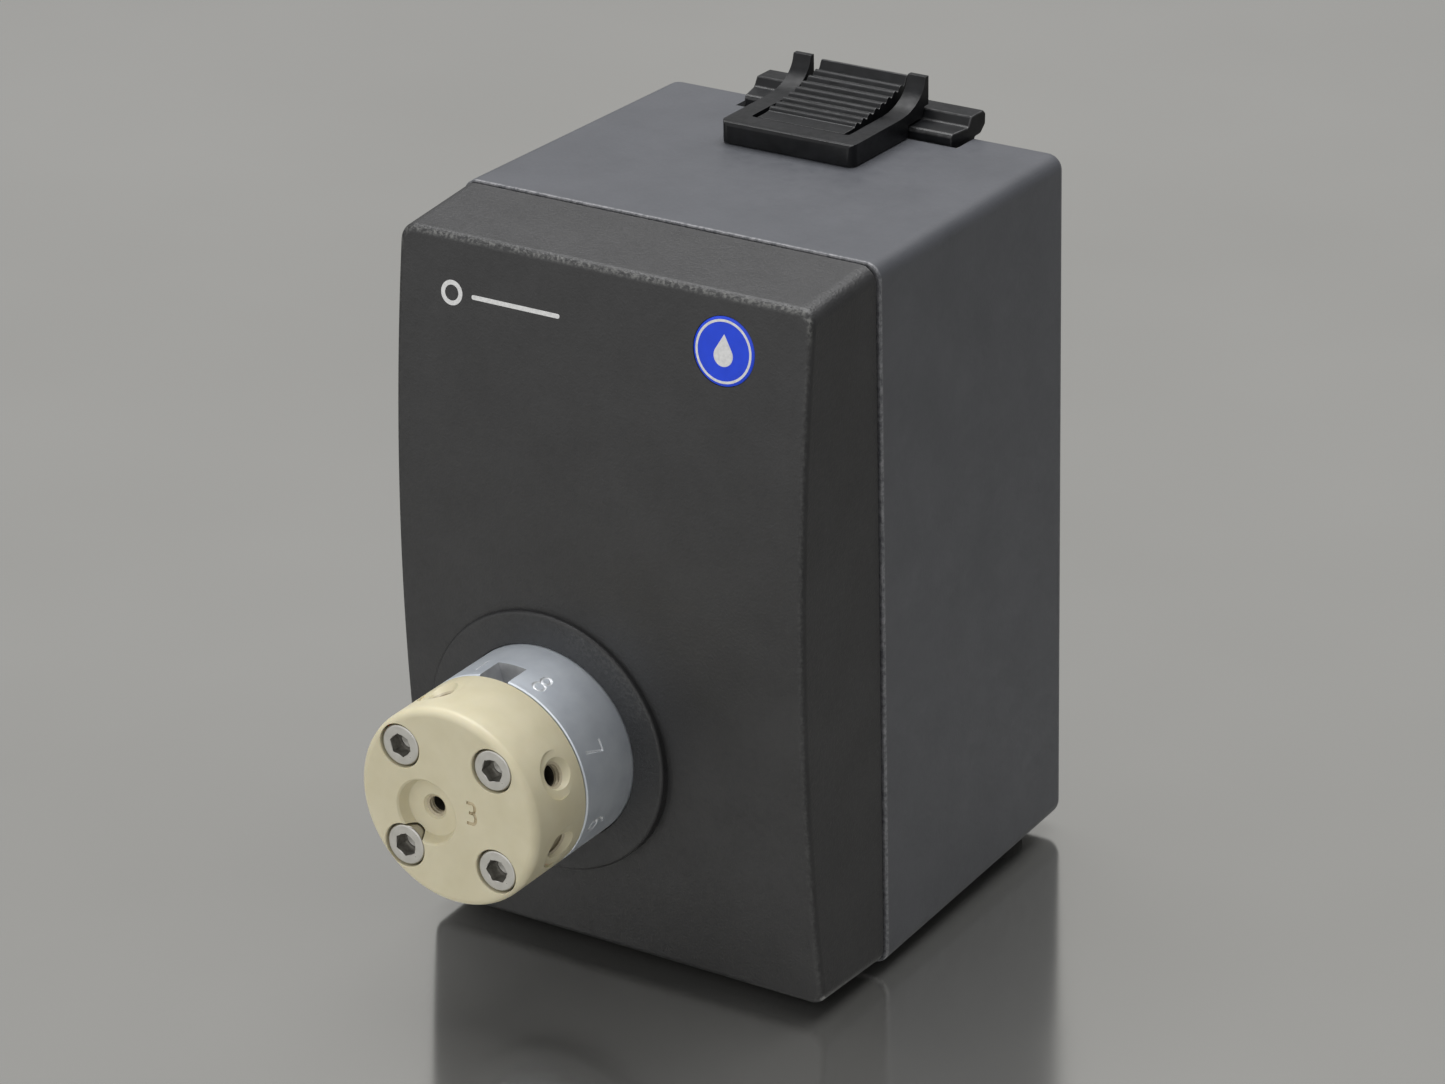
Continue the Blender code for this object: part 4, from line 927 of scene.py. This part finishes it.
def make_ring():
    profile = [(11.0, RING_FRONT_Y), (HEAD_RADIUS - 0.25, RING_FRONT_Y), (HEAD_RADIUS, RING_FRONT_Y + 0.25),
               (HEAD_RADIUS, -1.3), (25.2, -1.3), (25.2, 2.7), (8.35, 2.7), (8.35, -21.1), (11.0, -21.1)]
    ring = new_piece("ring_detail", turned(profile, count=128), aluminium(), place(VALVE_X, 0.0, VALVE_Z))
    notch = bmesh.new()
    add_prism(notch, [(3.3, 22.0), (2.75, 18.6), (1.5, 14.5), (-2.1, 14.5), (-3.35, 18.6), (-3.9, 22.0)],
              RING_FRONT_Y - 3.0, -35.3)
    bores = [rod(SCREW_HOLE_RADIUS, -45.0, -28.0, spot, 32) for spot in stator_screw_places()]
    carve(ring, [new_piece("cutter", notch, machined_notch(), ring.matrix_world), *bores])
    # The digit grooves carry a painted highlight in place of their bright edges.
    groove_highlight = engraving_highlight()
    grooves = [groove(digit, RING_DIGIT_HEIGHT, groove_highlight, around_axis(degrees, HEAD_RADIUS, RING_DIGIT_Y))
               for digit, degrees in RING_DIGITS.items()]
    carve(ring, grooves)
    shade(ring)
    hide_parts("valve_body_ring")
    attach(ring, "casing")


def threaded_bore(radius, flare):
    """A (radius, distance) profile of the thread that shows, from the end of the countersink inwards."""
    profile = [(0.0, flare - 0.3), (radius, flare - 0.3), (radius, flare)]
    crest = radius - THREAD_DEPTH
    reach = flare
    while reach < THREAD_SHOWN:
        for level, share in ((crest, 0.35), (crest, 0.5), (radius, 0.85), (radius, 1.0)):
            profile.append((level, reach + share * THREAD_PITCH))
        reach += THREAD_PITCH
    profile.append((0.0, reach))
    return profile


def deep_bore(radius):
    """The dark rest of a port's hole."""
    narrow = radius - THREAD_DEPTH
    return [(0.0, THREAD_SHOWN - 0.2), (narrow, THREAD_SHOWN - 0.2), (narrow, PORT_DEPTH), (0.0, PORT_TIP)]


def counterbore(spot, seat, finish):
    """A stator screw's hole, with its mouth's edge broken."""
    sink = STATOR_FRONT_Y + COUNTERBORE_DEPTH
    profile = [(0.0, -60.0), (COUNTERBORE_RADIUS + 0.15, -60.0), (COUNTERBORE_RADIUS + 0.15, STATOR_FRONT_Y),
               (COUNTERBORE_RADIUS, STATOR_FRONT_Y + 0.15), (COUNTERBORE_RADIUS, sink),
               (SCREW_HOLE_RADIUS, sink), (SCREW_HOLE_RADIUS, -36.0), (0.0, -36.0)]
    return new_piece("cutter", turned(profile, spot, 48), finish, seat)


def front_port(seat, cream, shaded_wall, dark):
    """The dished recess of the front port, its thread and its depth."""
    floor_y = STATOR_FRONT_Y + RECESS_DEPTH
    thread_y = floor_y + FRONT_COUNTERSINK
    dish = [(0.0, STATOR_FRONT_Y - 1.0), (RECESS_RIM + 0.5, STATOR_FRONT_Y - 1.0),
            (RECESS_RIM + 0.12, STATOR_FRONT_Y), (RECESS_RIM - 0.22, STATOR_FRONT_Y + 0.3),
            (RECESS_FLOOR + 0.12, floor_y - 0.15), (RECESS_FLOOR - 0.15, floor_y),
            (FRONT_PORT_RADIUS + 0.4, floor_y + 0.25), (FRONT_PORT_RADIUS, thread_y), (0.0, thread_y)]
    cutters = [new_piece("cutter", turned(dish, FRONT_PORT, 96), cream, seat)]
    for profile, finish in ((threaded_bore(FRONT_PORT_RADIUS, FRONT_COUNTERSINK), shaded_wall),
                            (deep_bore(FRONT_PORT_RADIUS), dark)):
        hole = turned([(r, floor_y + d) for r, d in profile], FRONT_PORT, 40)
        cutters.append(new_piece("cutter", hole, finish, seat))
    return cutters


def side_port(degrees, seat, cream, shaded_wall, dark):
    """A side port's spot face, countersink, thread and depth, at an angle round the stator."""
    turn = Matrix.Rotation(math.radians(90.0 - degrees), 4, "Y")
    flat = Matrix.Translation((0.0, PORT_Y, HEAD_RADIUS - SPOT_DEPTH))
    outward = Matrix.Rotation(math.radians(SPOT_TILT), 4, "X") @ Matrix.Rotation(math.radians(90.0), 4, "X")
    inward = Matrix.Rotation(math.radians(-90.0), 4, "X")
    cone = turned([(0.0, -2.0), (PORT_RADIUS + COUNTERSINK + 2.0, -2.0), (PORT_RADIUS, COUNTERSINK),
                   (0.0, COUNTERSINK)], count=64)
    steps = [(rod(SPOT_RADIUS, 0.0, 5.0, count=64), outward, cream), (cone, inward, cream),
             (turned(threaded_bore(PORT_RADIUS, COUNTERSINK), count=40), inward, shaded_wall),
             (turned(deep_bore(PORT_RADIUS), count=40), inward, dark)]
    cutters = []
    for shape, facing, finish in steps:
        bmesh.ops.transform(shape, matrix=turn @ flat @ facing, verts=shape.verts)
        cutters.append(new_piece("cutter", shape, finish, seat))
    return cutters


def make_stator():
    fillet = (HEAD_RADIUS - STATOR_FILLET, STATOR_FRONT_Y + STATOR_FILLET)
    profile = [(0.0, -39.3), (10.4, -39.3), (10.4, STATOR_REAR_Y), (HEAD_RADIUS - 0.25, STATOR_REAR_Y),
               (HEAD_RADIUS, STATOR_REAR_Y - 0.25), *circle(STATOR_FILLET, fillet, 9, 0.0, -90.0),
               (0.0, STATOR_FRONT_Y)]
    cream = stator_polymer()
    stator = new_piece("stator_detail", turned(profile, count=160), cream, place(VALVE_X, 0.0, VALVE_Z))
    seat = stator.matrix_world
    # Port threads carry painted shade: darker than the stator inside the holes.
    shaded_wall = port_wall_shade()
    dark = port_depth()
    cutters = [counterbore(spot, seat, cream) for spot in stator_screw_places()]
    cutters += front_port(seat, cream, shaded_wall, dark)
    for degrees in SIDE_PORTS.values():
        cutters += side_port(degrees, seat, cream, shaded_wall, dark)
    carve(stator, cutters)
    x, z, height = FACE_DIGIT
    face = place(VALVE_X + x, STATOR_FRONT_Y, VALVE_Z + z)
    carve(stator, [groove(3, height, engraved_polymer(), face)])
    shade(stator, 24.0)
    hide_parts("stator_block")
    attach(stator, "casing")


def cap_screw(node, matrix, size, turn, finish, inside):
    """A socket head cap screw along +Y from its head's face, in place of a CAD screw."""
    rim = size.head_radius - SCREW_RIM
    across = size.flats / 2
    drill_radius = size.flats * 0.42
    profile = [(0.0, 0.0), (rim, 0.0), *circle(SCREW_RIM, (rim, SCREW_RIM), 6, -90.0, 90.0),
               (size.head_radius, size.head_height), (size.shank_radius, size.head_height),
               (size.shank_radius, size.length - 0.4), (size.shank_radius - 0.4, size.length),
               (0.0, size.length)]
    screw = new_piece(f"{node}_detail", turned(profile, count=64), finish, matrix)
    socket = bmesh.new()
    add_prism(socket, circle(size.flats / math.sqrt(3.0), count=6, start=turn), -1.0, size.socket_depth)
    lead = turned([(0.0, -1.0), (across + 1.12, -1.0), (across, 0.12), (0.0, 0.12)], count=48)
    drill = turned([(0.0, 0.2), (drill_radius, 0.2), (drill_radius, size.socket_depth + 0.2),
                    (0.0, size.socket_depth + 0.9)], count=24)
    carve(screw, [lead, *(new_piece("cutter", shape, inside, matrix) for shape in (socket, drill))])
    shade(screw, 28.0)
    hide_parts(node)
    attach(screw, "casing")


def make_screws():
    finish = steel()
    # Painted shade: darker steel inside the hexagon sockets.
    inside = socket_shade_steel()
    back = Matrix.Rotation(math.pi, 4, "Z")
    for k, (x, z) in enumerate(stator_screw_places(), 1):
        spot = place(VALVE_X + x, STATOR_FRONT_Y + SCREW_HEAD_SINK, VALVE_Z + z)
        cap_screw(f"stator_screw_{k}", spot, STATOR_SCREW, STATOR_SCREW_TURNS[k - 1], finish, inside)
    for k, (x, z) in enumerate(case_screw_places(), 1):
        spot = place(x, HOUSING_DEPTH - 0.8, z) @ back
        cap_screw(f"case_screw_{k}", spot, CASE_SCREW, CASE_SCREW_TURN * k, finish, inside)
    for k, (x, z) in enumerate(plate_screw_places(), 1):
        spot = place(x, HOUSING_DEPTH + 1.5, z) @ back
        cap_screw(f"plate_screw_{k}", spot, PLATE_SCREW, PLATE_SCREW_TURN * k, finish, inside)


# ---------------------------------------------------------------- release clip

def arm_outline():
    """Side view of an arm with its horn, (Y, Z): a bridge over the catch bar at the rear."""
    points = [(0.0, CLIP_GAP), (19.3, CLIP_GAP), (19.3, 2.6), (24.3, 2.7), (25.1, 4.6), (HORN_REAR, 4.6),
              (HORN_REAR, HORN_TOP), (HORN_REAR - 1.1, HORN_TOP)]
    points += ellipse_arc((16.3, HORN_TOP), (9.0, 5.6), -6.0, -90.0, 14)
    points += [(12.0, CLIP_BASE_HEIGHT + 0.1), (0.9, CLIP_BASE_HEIGHT), (0.25, CLIP_BASE_HEIGHT - 0.25),
               (0.0, CLIP_BASE_HEIGHT - 0.9)]
    return points


def plan_outline():
    """Top view of the clip's frame: a U open to the rear, its front corners rounded."""
    wide = CLIP_HALF_WIDTH
    rear = HORN_REAR + 1.0
    points = [(wide, rear)]
    points += circle(CLIP_CORNER, (wide - CLIP_CORNER, CLIP_CORNER), 8, 0.0, -90.0)
    points += circle(CLIP_CORNER, (CLIP_CORNER - wide, CLIP_CORNER), 8, -90.0, -90.0)
    points += [(-wide, rear), (-ARM_INNER_X, rear)]
    inner_y = CLIP_BAR_DEPTH + CLIP_INNER_CORNER
    points += circle(CLIP_INNER_CORNER, (CLIP_INNER_CORNER - ARM_INNER_X, inner_y), 5, 180.0, 90.0)
    points += circle(CLIP_INNER_CORNER, (ARM_INNER_X - CLIP_INNER_CORNER, inner_y), 5, 270.0, 90.0)
    points.append((ARM_INNER_X, rear))
    return points


def make_clip_frame(finish, edge_wear_and_highlight):
    bm = bmesh.new()
    add_prism(bm, plan_outline(), -2.0, 14.0, "Z")
    clip = new_piece("clip_frame_detail", bm, finish, CLIP_SEAT)
    side = bmesh.new()
    add_prism(side, arm_outline(), -20.0, 20.0, "X")
    carve(clip, [side], "INTERSECT")
    soften(clip, 0.5, 3, 35.0, edge_wear_and_highlight)
    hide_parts("clip_frame")
    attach(clip, "casing")


def tongue_top(y):
    """Height of the tongue's ramp under its ribs."""
    return CLIP_BASE_HEIGHT + 3.0 * max(0.0, (y - 7.0) / 19.0) ** 1.6


def tongue_outline():
    """Side view of the thumb tongue, (Y, Z): a flat root, a row of ribs, and a raised rear lip."""
    points = [(4.9, 2.3), (9.0, 2.5), (18.0, 3.4), (23.6, 4.4), (27.6, 4.4), (27.95, 8.8), (27.6, 9.15),
              (27.2, 9.15), (26.85, 8.7), (26.6, 8.1), (26.35, 7.7), (26.05, tongue_top(26.05))]
    for rib in reversed(range(RIB_COUNT)):
        middle = RIB_START + RIB_PITCH * rib
        for step, lift in RIB_SHAPE:
            points.append((middle + step, tongue_top(middle + step) + lift))
    points += [(7.5, CLIP_BASE_HEIGHT), (4.9, CLIP_BASE_HEIGHT)]
    return points


def make_tongue(finish, edge_wear_and_highlight):
    bm = bmesh.new()
    add_prism(bm, tongue_outline(), -TONGUE_HALF_WIDTH, TONGUE_HALF_WIDTH, "X")
    tongue = new_piece("thumb_tongue_detail", bm, finish, CLIP_SEAT)
    soften(tongue, 0.12, 2, 40.0, edge_wear_and_highlight)
    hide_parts("thumb_tongue")
    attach(tongue, "thumb_catch")


def make_catch_bar(finish, edge_wear_and_highlight):
    side = [(20.6, -1.0), (27.0, -1.0), (27.0, -0.2), (29.2, -0.1), (30.9, 1.3), (30.98, 3.3), (30.2, 4.08),
            (25.8, 4.08), (24.8, 2.3), (20.5, 2.1), (20.0, 1.6), (20.0, -0.3)]
    bm = bmesh.new()
    add_prism(bm, side, BAR_LEFT_X, BAR_RIGHT_X, "X")
    for vert in bm.verts:
        if vert.co.y < 20.8:
            vert.co.x -= math.copysign(0.9, vert.co.x)
    bar = new_piece("catch_bar_detail", bm, finish, CLIP_SEAT)
    soften(bar, 0.3, 2, 35.0, edge_wear_and_highlight)
    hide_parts("catch_bar")
    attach(bar, "thumb_catch")


# ---------------------------------------------------------------- rear

def make_plate():
    bm = bmesh.new()
    add_prism(bm, round_rectangle(PLATE_HALF_WIDTH, PLATE_HALF_HEIGHT, 1.2, (0.0, PLATE_Z)),
              HOUSING_DEPTH - 1.3, HOUSING_DEPTH - 0.1)
    plate = new_piece("plate_detail", bm, satin_sheet())
    through = (60.0, 74.0)
    cuts = [rod(SOCKET_RADIUS + 0.2, *through, (x, PLATE_Z), 64) for x in (-SOCKET_X, SOCKET_X)]
    cuts.append(rod(DIAL_RADIUS + 0.8, *through, (0.0, PLATE_Z), 64))
    cuts += [rod(PLATE_SCREW.shank_radius + 0.3, *through, spot, 24) for spot in plate_screw_places()]
    carve(plate, cuts)
    soften(plate, 0.12)
    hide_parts("connector_plate")
    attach(plate, "casing")


def make_sockets():
    """Round bus sockets with a keyed shroud and a ring of contact holes."""
    finish = dark_plastic()
    profile = [(0.0, 55.0), (7.0, 55.0), (7.0, 64.8), (SOCKET_RADIUS, 64.8), (SOCKET_RADIUS, 68.9),
               (SOCKET_RADIUS - 0.3, 69.2), (4.9, 69.2), (4.6, 68.9), (4.6, 64.5), (3.7, 64.5), (3.7, 68.4),
               (3.5, 68.6), (0.0, 68.6)]
    for side, x in (("left", -SOCKET_X), ("right", SOCKET_X)):
        seat = place(x, 0.0, PLATE_Z)
        socket = new_piece(f"bus_socket_{side}_detail", turned(profile, count=64), finish, seat)
        cuts = [rod(CONTACT_RADIUS, 66.0, 70.0, polar(CONTACT_CIRCLE, 30 + 60 * k), 16) for k in range(6)]
        key = bmesh.new()
        add_box(key, (-0.7, 0.7), (66.5, 70.0), (2.9, 4.1))
        carve(socket, [*cuts, key])
        shade(socket)
        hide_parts(f"bus_socket_{side}")
        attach(socket, "casing")


def make_dial():
    """The address selector: a slotted disc with a pointer nick."""
    profile = [(0.0, 64.6), (DIAL_RADIUS, 64.6), (DIAL_RADIUS, 66.9), (DIAL_RADIUS - 0.3, 67.2), (0.0, 67.2)]
    seat = place(0.0, 0.0, PLATE_Z)
    dial = new_piece("address_dial_detail", turned(profile, count=64), stator_polymer(), seat)
    slot = bmesh.new()
    add_box(slot, (-0.5, 0.5), (66.4, 69.0), (-2.6, 2.6))
    nick = bmesh.new()
    add_prism(nick, [(-0.7, 2.4), (0.7, 2.4), (0.0, 3.45)], 66.7, 69.0)
    carve(dial, [slot, nick])
    soften(dial, 0.08)
    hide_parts("address_dial")
    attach(dial, "address_selector")


# ---------------------------------------------------------------- what stays as in CAD

def finish_nodes(nodes):
    """Give every CAD node that still shows its detailed material."""
    sheet = satin_sheet()
    metal = steel()
    polymer = stator_polymer()
    plastic = dark_plastic()
    board = board_green()
    yellow = brass()
    black = rubber()
    kept = {
        "foot_": black, "distribution_plate": polymer, "channel_plate": plastic, "motor_can": plastic,
        "encoder_disc": plastic, "address_switch": plastic, "chassis_plate": sheet, "motor_plate": sheet,
        "control_board": board, "position_sensor": board, "plate_standoff": yellow, "drive_gear": yellow,
        "shaft_bush": yellow,
    }
    for name, node in nodes.items():
        if node.hide_render:
            continue
        finish = next((f for start, f in kept.items() if name.startswith(start)), metal)
        for slot in node.material_slots:
            slot.material = finish


# ---------------------------------------------------------------- stage

def make_floor():
    bm = bmesh.new()
    add_box(bm, (-FLOOR_HALF, FLOOR_HALF), (-FLOOR_HALF, FLOOR_HALF), (-12.0, -0.02))
    floor = new_piece("floor", bm, floor_finish(), Matrix.Identity(4))


def floor_finish():
    """A pale satin bench top."""
    finish = new_material("floor_pale", (0.52, 0.515, 0.485), 0.13, 0.88)
    mottle(finish, 160.0, 3.0, (0.55, 0.545, 0.52), (0.59, 0.585, 0.56))
    roughness_between(finish, noise(finish, 60.0, 3.0), 0.10, 0.15)
    return finish


def area_light(name, spot, target, size, power):
    light = bpy.data.lights.new(name, "AREA")
    light.shape = "RECTANGLE"
    light.size = size[0]
    light.size_y = size[1]
    light.energy = power
    obj = bpy.data.objects.new(name, light)
    bpy.context.collection.objects.link(obj)
    obj.location = spot
    obj.rotation_euler = (Vector(target) - Vector(spot)).to_track_quat("-Z", "Y").to_euler()


def make_light():
    world = bpy.data.worlds.new("room")
    bpy.context.scene.world = world
    world.use_nodes = True
    background = world.node_tree.nodes["Background"]
    background.inputs["Color"].default_value = (1.0, 1.0, 0.99, 1.0)
    background.inputs["Strength"].default_value = WORLD_STRENGTH
    for name, (spot, target, size, power) in LIGHTS.items():
        area_light(name, spot, target, size, power)


def make_camera():
    data = bpy.data.cameras.new("camera")
    data.sensor_width = SENSOR_WIDTH
    data.lens = CAMERA_LENS
    data.clip_start = 0.05
    data.clip_end = 20.0
    turn = Matrix.Rotation(math.radians(CAMERA_YAW), 4, "Z")
    tilt = Matrix.Rotation(math.radians(90.0 - CAMERA_PITCH), 4, "X")
    roll = Matrix.Rotation(math.radians(-CAMERA_ROLL), 4, "Z")
    camera = set_down("camera", data, place(*CAMERA_PLACE) @ turn @ tilt @ roll)
    bpy.context.scene.camera = camera


def clear_scene():
    for obj in list(bpy.data.objects):
        bpy.data.objects.remove(obj, do_unlink=True)


def main():
    clear_scene()
    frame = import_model()
    make_camera()
    make_light()
    make_floor()
    make_housing()
    make_cover()
    make_badge()
    make_printed_mark()
    make_ring()
    make_stator()
    make_screws()
    black = clip_plastic()
    # The clip's rounded edges get a lighter finish: partly rubbed wear, partly painted highlight on the
    # ridges.
    edge_wear_and_highlight = clip_edge_wear_and_highlight()
    make_clip_frame(black, edge_wear_and_highlight)
    make_tongue(black, edge_wear_and_highlight)
    make_catch_bar(black, edge_wear_and_highlight)
    make_plate()
    make_sockets()
    make_dial()
    finish_nodes(frame["nodes"])
    bpy.context.scene.view_settings.view_transform = "Standard"


main()
